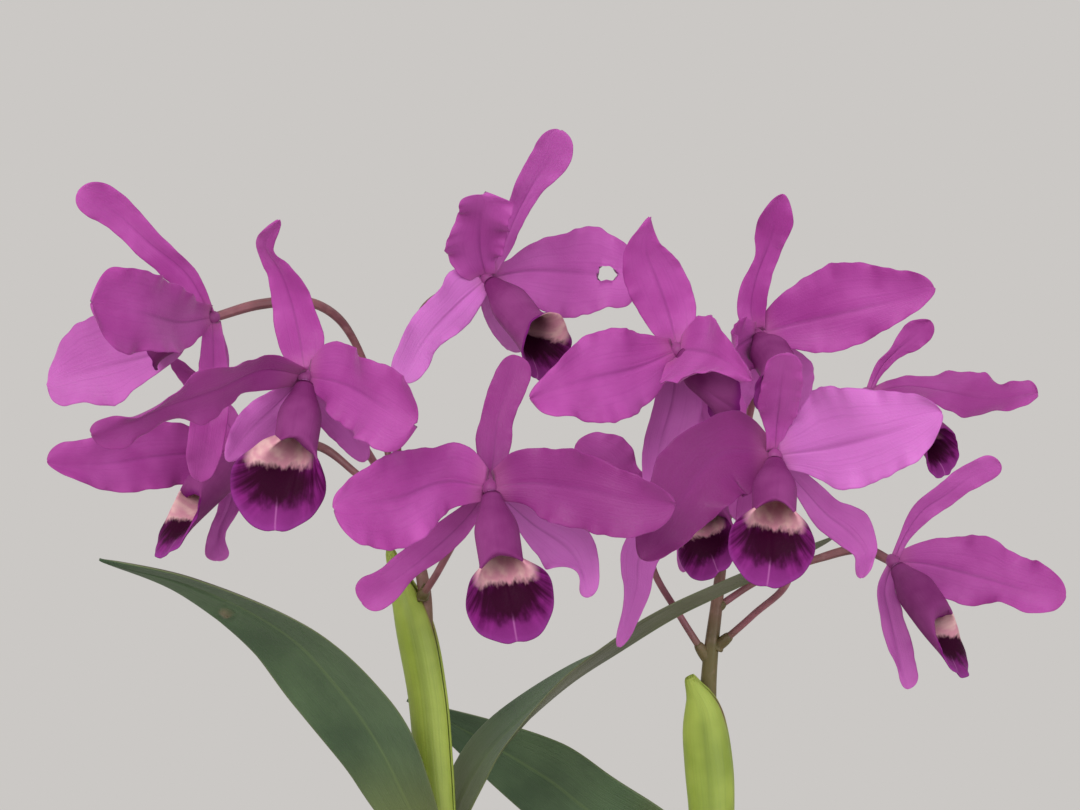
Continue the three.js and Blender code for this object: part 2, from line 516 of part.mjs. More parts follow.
// The sheath at the foot of each spray, as seen
const SHEATHS = {
  left: {
    course: [[441, 845, -2], [434, 765, -3], [427, 690, -3], [412, 615, -3], [390, 549, -2]],
    radii: [3.6, 4.2, 4.3, 4.1, 1.2],
  },
  right: {
    course: [[713, 858, 13], [711, 790, 14], [706, 735, 13], [701, 700, 11], [690, 676, 10]],
    radii: [4.6, 5.2, 5.5, 4.7, 1.5],
  },
};
const SHEATH_FLAT = 0.72;

// Pseudobulbs: foot and top in millimetres
const BULBS = {
  left: { foot: [-17, 3, 98], top: [-23.6, -2, 313], girth: 1 },
  right: { foot: [31, 12, 98], top: [42, 13, 310], girth: 1 },
  back_1: { foot: [51, -14, 98], top: [61, -18, 230], girth: 0.95 },
  back_2: { foot: [-45, 16, 98], top: [-56, 20, 220], girth: 0.92 },
  back_3: { foot: [4, 32, 98], top: [2, 42, 234], girth: 0.95 },
  back_4: { foot: [2, -30, 98], top: [-1, -40, 194], girth: 0.85 },
};
const BULB_RADII = [5, 10, 9.4, 6.6, 6.2, 6.6, 7.2, 7.4, 7.2, 6.8, 6.2, 5];

// Leaves that the picture shows are given as seen, the others in millimetres
const LEAVES = {
  left_a: {
    seen: [[435, 849, -6], [411, 808, -8], [381, 748, -12], [344, 694, -18], [287, 634, -26], [193, 585, -34],
      [99, 560, -40]],
    half: [5, 12, 15.5, 15.5, 12.5, 8], roll: [30, 42, 46, 48, 50, 50],
  },
  left_b: {
    seen: [[446, 847, 3], [463, 798, 4], [486, 758, 5], [513, 728, 5], [568, 680, 5], [620, 646, 4],
      [672, 614, 3], [717, 592, 3], [765, 570, 4], [833, 538, 6]],
    half: [5, 10.5, 11, 11, 9.5, 6], roll: [58, 72, 89, 106, 110, 112],
  },
  right_a: {
    seen: [[706, 862, 16], [660, 845, 20], [600, 818, 28], [550, 780, 36], [480, 738, 42], [407, 700, 46]],
    half: [5, 11, 14, 14, 12, 7.5], roll: [10, 12, 15, 18, 22, 26],
  },
  right_b: {
    seen: [[720, 862, 12], [770, 850, 8], [840, 858, 0], [910, 890, -8], [980, 950, -14]],
    half: [5, 10, 12, 11, 7], roll: [-30, -50, -60, -60, -60],
  },
  back_1a: {
    at: [[63.5, -18, 231], [84, -19, 256], [112, -15, 286], [130, -9, 316], [137, -3, 349]],
    half: [5, 10, 12, 11, 7], roll: [10, 10, 5, 0],
  },
  back_1b: {
    at: [[58, -21, 231], [52, -48, 258], [44, -84, 272], [38, -120, 262]],
    half: [5, 10.5, 12, 11, 7], roll: [75, 80, 85],
  },
  back_2a: {
    at: [[-58.5, 20, 221], [-84, 22, 250], [-118, 24, 266], [-152, 26, 262]],
    half: [5, 10, 12, 11, 7], roll: [60, 68, 72],
  },
  back_2b: {
    at: [[-54, 23, 221], [-49, 48, 250], [-42, 82, 266], [-35, 116, 260]],
    half: [5, 10, 12, 11, 7], roll: [75, 80, 85],
  },
  back_3a: {
    at: [[-0.5, 44, 235], [-16, 68, 264], [-34, 94, 276], [-54, 120, 268]],
    half: [5, 10, 12, 11, 7], roll: [60, 68, 72],
  },
  back_3b: {
    at: [[4.5, 43, 235], [27, 58, 266], [52, 76, 280], [80, 94, 272]],
    half: [5, 10, 12, 11, 7], roll: [-60, -68, -72],
  },
  back_4a: {
    at: [[-5, -40, 195], [-24, -60, 224], [-50, -82, 238], [-80, -102, 230]],
    half: [5, 9, 11, 10, 6.5], roll: [60, 68, 72],
  },
  back_4b: {
    at: [[4, -41, 195], [13, -68, 220], [24, -98, 228], [38, -128, 216]],
    half: [5, 9, 11, 10, 6.5], roll: [-60, -70, -75],
  },
};
const LEAF_TIP = { tip: 2.2, round: 1.4, cup: 0.35 };

// The rhizome creeps past the pseudobulbs' feet, with a stub to each, and roots run over the bark
const RHIZOME = {
  course: [[-60, -3, 103], [-44, -1, 105], [-30, 10, 105], [-14, 19, 105], [8, 16, 105], [20, -3, 105],
    [40, -4, 105], [49, 3, 105], [60, 8, 103]],
  radii: [2.5, 4, 4.2, 4.2, 4.2, 4, 2.5],
};
const ROOTS = [
  [[-42, 0, 106], [-50, -14, 108], [-50, -34, 107], [-38, -48, 104]],
  [[-16, 19, 106], [-24, 34, 108], [-27, 44, 107], [-28, 51, 103]],
  [[22, -3, 106], [26, -22, 108], [36, -38, 108], [40, -48, 103]],
  [[8, 16, 106], [20, 34, 108], [30, 42, 108], [36, 46, 103]],
  [[-3, 18, 106], [-1, -2, 109], [-16, -24, 108], [-24, -50, 104]],
];
const ROOT_RADII = [1.6, 1.5, 1.4, 1.1];

function vector([x, y, z]) {
  return new THREE.Vector3(x, y, z);
}

function potSolid() {
  const { height, baseRadius, neckRadius, rimRadius, rimHeight, wall, floor } = POT;
  const rimFoot = height - rimHeight;
  const profile = [
    [0, 0], [baseRadius - 2, 0], [baseRadius, 2], [neckRadius, rimFoot], [rimRadius - 2, rimFoot],
    [rimRadius - 1, rimFoot + 2], [rimRadius, height - 2], [rimRadius - 2, height],
    [neckRadius - wall + 4, height], [neckRadius - wall + 2, height - 2], [neckRadius - wall, rimFoot - 2],
    [baseRadius - wall, floor], [0, floor],
  ].map(([radius, z]) => new THREE.Vector2(radius, z));
  const lathe = new THREE.LatheGeometry(profile, 32).rotateX(Math.PI / 2);
  let pot = solid(lathe);
  for (let i = 0; i < DRAIN.count; i += 1) {
    const angle = ((i + 0.5) / DRAIN.count) * 2 * Math.PI;
    const hole = new THREE.CylinderGeometry(DRAIN.radius, DRAIN.radius, 3 * floor, 10).rotateX(Math.PI / 2);
    hole.translate(DRAIN.ring * Math.cos(angle), DRAIN.ring * Math.sin(angle), floor / 2);
    pot = pot.subtract(solid(hole));
  }
  return pot;
}

// Bark fills the pot, with loose chips on top laid out on a sunflower's spiral
function barkSolid(hollows) {
  const { height, rimHeight, baseRadius, neckRadius, wall, floor } = POT;
  const slope = (neckRadius - baseRadius) / (height - rimHeight - 2);
  const innerRadius = (z) => Math.min(baseRadius - wall + slope * (z - floor), neckRadius - wall) - 1;
  const bottom = floor + GAP;
  const depth = BARK.level - bottom;
  const bed = new THREE.CylinderGeometry(innerRadius(BARK.level), innerRadius(bottom), depth, 24);
  bed.rotateX(Math.PI / 2).translate(0, 0, (BARK.level + bottom) / 2);
  const pieces = [solid(bed)];
  for (let i = 0; i < BARK.chips; i += 1) {
    const angle = i * 2.39996;
    const radius = (BARK.ring - BARK.chipSize / 2) * Math.sqrt((i + 0.5) / BARK.chips);
    const size = BARK.chipSize * (0.75 + 0.25 * Math.sin(7.3 * i));
    const chip = new THREE.BoxGeometry(size, 0.7 * size, 0.45 * size);
    chip.rotateX(0.35 * Math.sin(3.1 * i)).rotateY(0.35 * Math.sin(5.7 * i)).rotateZ(2.1 * i);
    const level = BARK.level + 1.2 + 0.8 * Math.sin(4.4 * i);
    chip.translate(radius * Math.cos(angle), radius * Math.sin(angle), level);
    pieces.push(solid(chip));
  }
  return largestBody(hollows.reduce((bark, hollow) => bark.subtract(hollow), join(pieces)));
}

function bulbSolid({ foot, top, girth }, extra = 0) {
  const radii = BULB_RADII.map((radius) => radius * girth);
  return solid(limb([vector(foot), vector(top)], radii, { sides: 8, rows: 9, extra }));
}

function rhizomeSolid(extra = 0) {
  const middle = RHIZOME.course.map(vector);
  const stem = solid(limb(middle, RHIZOME.radii, { sides: 5, rows: 13, extra }));
  const course = new Course(middle);
  const stubs = Object.values(BULBS).map(({ foot, girth }) => {
    const axis = vector(foot).setZ(RHIZOME.course[1][2]);
    const samples = Array.from({ length: 41 }, (_, i) => course.getPoint(i / 40));
    const start = samples.reduce((best, point) => (
      point.distanceTo(axis) < best.distanceTo(axis) ? point : best));
    const standoff = girth * Math.max(...BULB_RADII) + 2 * GAP;
    const end = axis.clone().add(start.clone().sub(axis).setLength(standoff));
    return solid(limb([start, end], [3.6, 3.4], { sides: 5, rows: 1, extra: extra / 2 }));
  });
  const roots = ROOTS.map((points) => (
    solid(limb(points.map(vector), ROOT_RADII, { sides: 4, rows: 5, extra }))));
  return join([stem, ...stubs, ...roots]);
}

function leafSolid(leaf) {
  const course = leaf.seen ? leaf.seen.map(seen) : leaf.at.map(vector);
  const surface = bladeSurface({ course, half: leaf.half, roll: leaf.roll, ...LEAF_TIP });
  return solid(thicken(surface, 9, 2, LEAF_THICKNESS));
}

function pedicelCourse(pedicel) {
  return [...pedicel.course.map(seen), seen(BLOOMS[pedicel.bloom - 1].centre)];
}

function spraySolid(spray) {
  const peduncle = limb(spray.peduncle.course.map(seen), spray.peduncle.radii, PEDUNCLE_MESH);
  const pedicels = spray.pedicels.map((pedicel) => (
    solid(limb(pedicelCourse(pedicel), PEDICEL_RADII, { sides: 5, rows: 6 }))));
  return join([solid(peduncle), ...pedicels]);
}

function sheathSolid(sheath, extra = 0) {
  return solid(limb(sheath.course.map(seen), sheath.radii, { sides: 8, rows: 7, flat: SHEATH_FLAT, extra }));
}

// One bloom's solids: its perianth with the column, its lip, and both grown by the gap for cutting others
function bloomSolids(bloom) {
  const centre = seen(bloom.centre);
  const lipShape = {
    centre,
    mouth: seen(bloom.lip.mouth),
    rim: seen(bloom.lip.rim),
    rimRadius: bloom.lip.rimRadius,
    facing: vector(bloom.lip.facing),
  };
  const wall = lipSurface(lipShape);
  const lip = solid(thicken(wall, 5, 10, LIP_THICKNESS, { ring: true }));
  const axis = lipShape.mouth.clone().sub(centre).normalize();
  const tubeFoot = centre.clone().addScaledVector(axis, LIP_START);
  const { startRadius, mouthRadius } = LIP_TUBE;
  const spread = LIP_THICKNESS / 2 + 2 * GAP;
  const lipRoom = solid(limb([tubeFoot, lipShape.mouth],
    [startRadius, startRadius + 0.7 * (mouthRadius - startRadius), mouthRadius],
    { sides: 8, rows: 2, extra: spread }));
  const leaves = (grown) => bloom.blades.map((blade, i) => {
    const course = [centre, ...blade.course.map(seen)];
    const petal = i === 1 || i === 2;
    const surface = bladeSurface({ ...blade, course });
    const start = BLADE_START / new Course(course).getLength();
    return solid(thicken(surface, petal ? 6 : 5, petal ? 3 : 2, PETAL_THICKNESS + 2 * grown, { start }));
  });
  const columnTip = centre.clone().addScaledVector(axis, COLUMN.length);
  const column = solid(limb([centre, columnTip], [COLUMN.radius, COLUMN.radius], { sides: 5, rows: 1 }));
  let perianth = join([...leaves(0), ball(centre, RECEPTACLE_RADIUS)]).subtract(lipRoom).add(column);
  if (bloom.bitten) {
    const [x, y] = bloom.bitten.at;
    const depth = 60;
    const bite = limb([seen([x, y, -depth]), seen([x, y, depth])], [bloom.bitten.radius, bloom.bitten.radius],
      { sides: 7, rows: 1, flat: 0.75 });
    perianth = perianth.subtract(solid(bite));
  }
  const room = join([...leaves(GAP), ball(centre, RECEPTACLE_RADIUS + GAP), lipRoom, perianth]);
  return { perianth: largestBody(perianth), lip, room };
}

const finish = (color, roughness) => new THREE.MeshStandardMaterial({ color, roughness, metalness: 0 });
const CLAY = finish(0xb4694a, 0.85);
const BARK_BROWN = finish(0x6b4a33, 0.95);
const ROOT_GREY = finish(0xb9b39c, 0.85);
const BULB_GREEN = finish(0x8a9150, 0.6);
const LEAF_GREEN = finish(0x4a6a45, 0.5);
const SHEATH_GREEN = finish(0x7d963c, 0.55);
const STEM_ROSE = finish(0x9a6e66, 0.5);
const PETAL_PURPLE = finish(0xa54ba0, 0.5);
const LIP_PURPLE = finish(0x6e1a66, 0.5);

const plant = new THREE.Group();

function place(name, whole, material) {
  const { vertProperties, triVerts } = whole.getMesh();
  const geometry = new THREE.BufferGeometry();
  geometry.setAttribute('position', new THREE.Float32BufferAttribute(Array.from(vertProperties), 3));
  geometry.setIndex(Array.from(triVerts));
  geometry.computeVertexNormals();
  const mesh = new THREE.Mesh(geometry, material);
  mesh.name = name;
  plant.add(mesh);
}

const bulbNames = Object.keys(BULBS);
const bulbRooms = bulbNames.map((name) => bulbSolid(BULBS[name], GAP));
place('pot', potSolid(), CLAY);
place('potting_bark', barkSolid([...bulbRooms, rhizomeSolid(GAP)]), BARK_BROWN);
place('rhizome', rhizomeSolid(), ROOT_GREY);
bulbNames.forEach((name) => place(`pseudobulb_${name}`, bulbSolid(BULBS[name]), BULB_GREEN));

const sprays = Object.fromEntries(Object.keys(SPRAYS).map((name) => [name, spraySolid(SPRAYS[name])]));
const peduncleRoom = (name) => {
  const { course, radii } = SPRAYS[name].peduncle;
  return solid(limb(course.map(seen), radii, { ...PEDUNCLE_MESH, extra: GAP }));
};
for (const name of Object.keys(SHEATHS)) {
  const cuts = [...bulbRooms, peduncleRoom(name)];
  const sheath = cuts.reduce((whole, cut) => whole.subtract(cut), sheathSolid(SHEATHS[name]));
  place(`sheath_${name}`, largestBody(sheath), SHEATH_GREEN);
}

const sheathRooms = Object.values(SHEATHS).map((sheath) => sheathSolid(sheath, GAP));
for (const [name, leaf] of Object.entries(LEAVES)) {
  const cuts = [...bulbRooms, ...sheathRooms];
  const blade = cuts.reduce((whole, cut) => whole.subtract(cut), leafSolid(leaf));
  place(`leaf_${name}`, largestBody(blade), LEAF_GREEN);
}

const blooms = BLOOMS.map(bloomSolids);
for (const [name, spray] of Object.entries(SPRAYS)) {
  const rooms = spray.pedicels.map(({ bloom }) => blooms[bloom - 1].room);
  const stems = [...rooms, ...bulbRooms].reduce((whole, room) => whole.subtract(room), sprays[name]);
  place(`spray_${name}`, largestBody(stems), STEM_ROSE);
}
blooms.forEach(({ perianth, lip }, i) => {
  place(`bloom_${i + 1}`, perianth, PETAL_PURPLE);
  place(`lip_${i + 1}`, lip, LIP_PURPLE);
});

export default plant;
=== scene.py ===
# %% [markdown]
# # A potted orchid in flower
# This lesson dresses a finished frame of solids: a clay pot of bark, a creeping rhizome with six
# pseudobulbs, leaves, and two sprays with eleven blooms. Each solid stays as it is, and a finer surface
# with veins, ruffles and colour takes its place.
# Every surface here is a function of two parameters, worked out with numpy on a grid and put into a mesh.

# %% Load the frame
import bpy
import numpy as np
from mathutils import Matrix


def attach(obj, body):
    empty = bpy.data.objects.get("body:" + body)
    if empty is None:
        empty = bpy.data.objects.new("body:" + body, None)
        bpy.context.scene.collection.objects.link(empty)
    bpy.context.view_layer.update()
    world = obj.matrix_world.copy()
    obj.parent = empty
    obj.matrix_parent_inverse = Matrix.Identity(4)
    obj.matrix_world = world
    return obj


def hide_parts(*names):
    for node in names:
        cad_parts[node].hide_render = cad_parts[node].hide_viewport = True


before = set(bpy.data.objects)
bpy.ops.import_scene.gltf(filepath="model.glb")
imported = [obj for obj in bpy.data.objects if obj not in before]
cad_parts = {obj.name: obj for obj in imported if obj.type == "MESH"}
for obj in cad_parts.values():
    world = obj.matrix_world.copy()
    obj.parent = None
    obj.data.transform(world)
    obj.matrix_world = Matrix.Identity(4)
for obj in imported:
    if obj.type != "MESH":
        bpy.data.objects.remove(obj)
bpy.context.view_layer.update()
print("solids in the frame:", len(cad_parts))

# %% [markdown]
# ## The camera comes first
# The flowers were placed along lines of sight, so the camera stands where those lines meet: half a
# metre in front of the pot's middle, level with the blooms, with a lens a little longer than normal.
# A place in the picture plus a depth behind the pot's middle is then a point in space.

# %% Set up the camera and the line of sight
MM = 0.001
FOCAL = 2100
RANGE = 500
EYE_HEIGHT = 421
MIDDLE_X, MIDDLE_Y = 540, 405
PICTURE_WIDTH = 1080
SENSOR = 36

camera = bpy.data.objects.new("camera", bpy.data.cameras.new("camera"))
camera.location = (0, -RANGE * MM, EYE_HEIGHT * MM)
camera.rotation_euler = (np.pi / 2, 0, 0)
camera.data.sensor_width = SENSOR
camera.data.lens = FOCAL / PICTURE_WIDTH * SENSOR
camera.data.clip_start = 0.01
bpy.context.scene.collection.objects.link(camera)
bpy.context.scene.camera = camera


def seen(places):
    """Picture places (x, y, depth) as points in millimetres: the offset from the picture's middle,
    times the range to that depth, over the focal length."""
    x, y, depth = np.asarray(places, float).T
    scale = (RANGE + depth) / FOCAL
    return np.stack([(x - MIDDLE_X) * scale, depth, EYE_HEIGHT - (y - MIDDLE_Y) * scale], -1)


def sighted(points):
    """The reverse of seen: where points in millimetres appear in the picture, in its pixels."""
    scale = FOCAL / (RANGE + points[..., 1])
    return MIDDLE_X + points[..., 0] * scale, MIDDLE_Y - (points[..., 2] - EYE_HEIGHT) * scale


print("lens:", camera.data.lens, "mm")

# %% [markdown]
# ## Curves through a few points
# Petals, leaves and stems all follow a smooth course. A cubic Hermite curve passes through every point,
# and its slope at a point is the line between the point's neighbours, which is how a springy stem bends.

# %% Curves and values along them
def smooth(x):
    """Three t squared less two t cubed: an easy step from 0 to 1."""
    t = np.clip(x, 0, 1)
    return t * t * (3 - 2 * t)


def unit(vectors):
    """Each vector over its own length."""
    return vectors / np.maximum(np.linalg.norm(vectors, axis=-1, keepdims=True), 1e-9)


class Course:
    """A cubic Hermite curve through points, whose parameter shares out the length of the chords."""

    def __init__(self, points):
        self.points = np.asarray(points, float)
        steps = np.linalg.norm(np.diff(self.points, axis=0), axis=1)
        self.length = steps.sum()
        self.knots = np.concatenate([[0], np.cumsum(steps)]) / self.length
        ends = np.diff(self.points, axis=0) / np.diff(self.knots)[:, None]
        inner = (self.points[2:] - self.points[:-2]) / (self.knots[2:] - self.knots[:-2])[:, None]
        self.slopes = np.concatenate([ends[:1], inner, ends[-1:]])

    def span(self, u):
        """The stretch between two points that holds u: its number, its share, and how far u is along it."""
        i = np.clip(np.searchsorted(self.knots, u, side="right") - 1, 0, len(self.points) - 2)
        step = (self.knots[i + 1] - self.knots[i])[..., None]
        return i, step, (u - self.knots[i])[..., None] / step

    def at(self, u):
        """The curve's points at u, by the four Hermite weights."""
        i, step, s = self.span(np.asarray(u, float))
        return (self.points[i] * (2 * s**3 - 3 * s**2 + 1) + self.slopes[i] * (s**3 - 2 * s**2 + s) * step
                + self.points[i + 1] * (3 * s**2 - 2 * s**3) + self.slopes[i + 1] * (s**3 - s**2) * step)

    def heading(self, u):
        """The unit direction of travel at u: the derivative of the same weights."""
        i, step, s = self.span(np.asarray(u, float))
        return unit(self.points[i] * (6 * s**2 - 6 * s) / step + self.slopes[i] * (3 * s**2 - 4 * s + 1)
                    + self.points[i + 1] * (6 * s - 6 * s**2) / step
                    + self.slopes[i + 1] * (3 * s**2 - 2 * s))


def along(values, u):
    """A smooth value at u from sizes at even stations, by the Catmull-Rom weights."""
    v = np.asarray(values, float)
    v = np.concatenate([[2 * v[0] - v[1]], v, [2 * v[-1] - v[-2]]])
    last = len(values) - 1
    i = np.clip((u * last).astype(int), 0, last - 1)
    s = u * last - i
    before, a, b, after = v[i], v[i + 1], v[i + 2], v[i + 3]
    return 0.5 * (2 * a + (b - before) * s + (2 * before - 5 * a + 4 * b - after) * s**2
                  + (3 * a - before - 3 * b + after) * s**3)


def between(values, u):
    """A value at u on straight lines between even stations."""
    return np.interp(u, np.linspace(0, 1, len(values)), values)


print("half way up an easy step:", smooth(0.5))

# %% [markdown]
# ## From a grid to a mesh
# A petal is a thin closed sheet: a front and a back that share their rim, with the thickness fading to
# nothing there, so that the rim is round and no seam is open. A stem is a ring carried along a course and
# closed by a pole at each end. A shape collects such surfaces, with their UV map and their marks, which
# are numbers on the vertices that the finishes read later.

# %% Gather surfaces and make a piece
class Shape:
    """Vertices, faces, UV places and marks of several surfaces, which become one mesh."""

    def __init__(self):
        self.points, self.quads, self.triangles, self.uv, self.marks = [], [], [], [], []
        self.count = 0

    def add(self, surface, uv=None, **marks):
        """Takes in a surface, whose faces count on from the vertices that are already here."""
        points, quads, triangles = surface
        size = len(points)
        self.points.append(points)
        self.quads.append(np.asarray(quads, int).reshape(-1, 4) + self.count)
        self.triangles.append(np.asarray(triangles, int).reshape(-1, 3) + self.count)
        self.uv.append(np.zeros((size, 2)) if uv is None else uv)
        self.marks.append({name: np.broadcast_to(value, size) for name, value in marks.items()})
        self.count += size

    def piece(self, name, finish, replaced):
        """The shape as a smooth mesh object in metres, which stands for a solid of the frame."""
        points = np.concatenate(self.points) * MM
        quads, triangles = np.concatenate(self.quads), np.concatenate(self.triangles)
        corners = np.concatenate([quads.ravel(), triangles.ravel()])
        sizes = np.concatenate([np.full(len(quads), 4), np.full(len(triangles), 3)])
        mesh = bpy.data.meshes.new(name)
        mesh.vertices.add(len(points))
        mesh.vertices.foreach_set("co", points.ravel())
        mesh.loops.add(len(corners))
        mesh.loops.foreach_set("vertex_index", corners)
        mesh.polygons.add(len(sizes))
        mesh.polygons.foreach_set("loop_start", np.concatenate([[0], np.cumsum(sizes)[:-1]]))
        mesh.update(calc_edges=True)
        mesh.validate()
        mesh.polygons.foreach_set("use_smooth", np.ones(len(sizes), bool))
        uv = np.concatenate(self.uv)
        mesh.uv_layers.new(name="surface").data.foreach_set("uv", uv[corners].ravel())
        for mark in sorted({mark for marks in self.marks for mark in marks}):
            values = [marks.get(mark, np.zeros(len(part))) for marks, part in zip(self.marks, self.points)]
            attribute = mesh.attributes.new(mark, "FLOAT", "POINT")
            attribute.data.foreach_set("value", np.concatenate(values).astype(np.float32))
        mesh.materials.append(finish)
        made = bpy.data.objects.new(name, mesh)
        bpy.context.scene.collection.objects.link(made)
        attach(made, "root")
        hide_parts(replaced)
        triangle_count = 2 * len(quads) + len(triangles)
        totals.append(triangle_count)
        print(name, "has", triangle_count, "triangles")
        return made


totals = []


def cells(index, ring=False):
    """The four corners of every cell of a grid of vertex numbers, turning left seen from the front."""
    if ring:
        index = np.concatenate([index, index[:, :1]], axis=1)
    return np.stack([index[:-1, :-1], index[1:, :-1], index[1:, 1:], index[:-1, 1:]], -1).reshape(-1, 4)


def sheet(middle, thickness, ring=False, hole=None):
    """A closed sheet around a grid of middle points: each vertex moves half the thickness along the
    normal, forwards and back, and the rim is shared. Also gives each vertex's place in the grid, and a
    mark that is 1 on the back. A hole is a block of cells left out, whose rim is walled."""
    rows, columns = middle.shape[:2]
    lengthwise = np.gradient(middle, axis=0)
    crosswise = np.roll(middle, -1, 1) - np.roll(middle, 1, 1) if ring else np.gradient(middle, axis=1)
    offset = (thickness / 2)[..., None] * unit(np.cross(lengthwise, crosswise))
    inside = slice(None) if ring else slice(1, -1)
    front = np.arange(rows * columns).reshape(rows, columns)
    back = front.copy()
    block = back[1:-1, inside]
    block[...] = rows * columns + np.arange(block.size).reshape(block.shape)
    forwards = (middle + offset).reshape(-1, 3)
    backwards = (middle - offset)[1:-1, inside].reshape(-1, 3)
    points = np.concatenate([forwards, backwards])
    place = np.concatenate([front.ravel(), front[1:-1, inside].ravel()])
    behind = np.arange(len(points)) >= rows * columns
    faces = [cells(front, ring), cells(back, ring)[:, ::-1]]
    if hole:
        (top, bottom), (left, right) = hole
        gone = np.zeros((rows - 1, columns - 1), bool)
        gone[top:bottom, left:right] = True
        faces = [face[~gone.ravel()] for face in faces]
        loop = ([(i, left) for i in range(top, bottom)] + [(bottom, j) for j in range(left, right)]
                + [(i, right) for i in range(bottom, top, -1)] + [(top, j) for j in range(right, left, -1)])
        i, j = np.array(loop + loop[:1]).T
        faces.append(np.stack([front[i[1:], j[1:]], front[i[:-1], j[:-1]],
                               back[i[:-1], j[:-1]], back[i[1:], j[1:]]], -1))
    return (points, np.concatenate(faces), np.zeros((0, 3))), place, behind.astype(float)


def tube(course, radii, rows, sides, flat=1, relief=None, blunt=0.35, spread=1.0):
    """A closed limb: at u, a ring of the radius there, flat times as deep as it is wide, square to the
    course. The last few rows draw in to a pole as an ellipse does, over blunt radii of length."""
    course = course if isinstance(course, Course) else Course(course)
    chord = unit(course.points[-1] - course.points[0])
    reference = np.array([0, 0, 1.0]) if abs(chord[1]) > 0.8 else np.array([0, 1.0, 0])
    t = np.linspace(0, 1, rows)
    u = (0.5 - 0.5 * np.cos(np.pi * t)) * (1 - spread) + t * spread
    angle = np.linspace(0, 2 * np.pi, sides, endpoint=False)
    heading = course.heading(u)
    side = unit(np.cross(reference, heading))
    face = np.cross(side, heading)
    radius = along(radii, u)
    reach = blunt * radius / course.length
    ends = np.clip(np.minimum(u, 1 - u) / np.maximum(reach, 1e-6), 0, 1)
    radius = radius * np.sqrt(np.maximum(1 - (1 - ends)**2, 0.02))
    around = np.ones((rows, sides)) if relief is None else relief(u[:, None], angle[None, :])
    spoke = (np.cos(angle)[None, :, None] * side[:, None, :]
             + flat * np.sin(angle)[None, :, None] * face[:, None, :])
    ring = course.at(u)[:, None, :] + (radius[:, None] * around)[..., None] * spoke
    index = np.arange(rows * sides).reshape(rows, sides)
    first, last = rows * sides, rows * sides + 1
    after = np.roll(index, -1, 1)
    caps = np.concatenate([np.stack([np.full(sides, first), index[0], after[0]], -1),
                           np.stack([np.full(sides, last), after[-1], index[-1]], -1)])
    points = np.concatenate([ring.reshape(-1, 3), ring[0].mean(0)[None], ring[-1].mean(0)[None]])
    travelled = np.concatenate([np.repeat(u, sides), [0, 1]])
    return (points, cells(index, ring=True), caps), travelled


# %% [markdown]
# ## Finishes are small node trees
# A living surface never has one flat colour, so every finish mixes several from noise and from the marks
# on the mesh. A small class with one short method for each kind of node keeps the recipes readable.
# Numbers that are the same all over stay on the shader's own sockets.

# %% A class for finishes
def srgb(red, green, blue):
    """A colour read off a screen, 0 to 255, as the linear light that a shader works with."""
    c = np.array([red, green, blue]) / 255
    return tuple(np.where(c <= 0.04045, c / 12.92, ((c + 0.055) / 1.055)**2.4)) + (1.0,)


class Finish:
    """A material's node tree. Each method adds one kind of node and returns the socket it ends in."""

    def __init__(self, name, **settings):
        self.material = bpy.data.materials.new(name)
        self.material.use_nodes = True
        self.nodes = self.material.node_tree.nodes
        self.links = self.material.node_tree.links
        self.shader = self.nodes["Principled BSDF"]
        for setting, value in settings.items():
            self.shader.inputs[setting.replace("_", " ")].default_value = value

    def node(self, kind, inputs=(), **settings):
        made = self.nodes.new("ShaderNode" + kind)
        for setting, value in settings.items():
            setattr(made, setting, value)
        for key, value in dict(inputs).items():
            if isinstance(value, bpy.types.NodeSocket):
                self.links.new(value, made.inputs[key])
            else:
                made.inputs[key].default_value = value
        return made

    def place(self):
        return self.node("TexCoord").outputs["Object"]

    def uv(self):
        return self.node("UVMap", uv_map="surface").outputs["UV"]

    def mark(self, name):
        return self.node("Attribute", attribute_name=name).outputs["Fac"]

    def parts(self, vector):
        split = self.node("SeparateXYZ", {0: vector})
        return split.outputs["X"], split.outputs["Y"]

    def scaled(self, vector, x, y, z=1):
        return self.node("Mapping", {"Vector": vector, "Scale": (x, y, z)}).outputs["Vector"]

    def noise(self, vector, scale, detail=2.0, twist=0.0):
        inputs = {"Vector": vector, "Scale": scale, "Detail": detail, "Distortion": twist}
        return self.node("TexNoise", inputs).outputs["Fac"]

    def maths(self, operation, a, b=0.0, c=0.0):
        return self.node("Math", {0: a, 1: b, 2: c}, operation=operation).outputs[0]

    def step(self, value, start, end, low=0.0, high=1.0):
        inputs = {"Value": value, "From Min": start, "From Max": end, "To Min": low, "To Max": high}
        return self.node("MapRange", inputs, interpolation_type="SMOOTHSTEP").outputs[0]

    def mix(self, share, a, b, blend="MIX"):
        made = self.node("Mix", {0: share, 6: a, 7: b}, data_type="RGBA", blend_type=blend)
        return made.outputs[2]

    def paint(self, colour):
        self.links.new(colour, self.shader.inputs["Base Color"])

    def gloss(self, roughness):
        self.links.new(roughness, self.shader.inputs["Roughness"])

    def relief(self, *layers):
        """Bumps laid one over another, each a height with its depth in millimetres."""
        normal = None
        for height, depth in layers:
            inputs = {"Height": height, "Distance": depth * MM, "Strength": 1.0}
            if normal:
                inputs["Normal"] = normal
            normal = self.node("Bump", inputs).outputs["Normal"]
        self.links.new(normal, self.shader.inputs["Normal"])
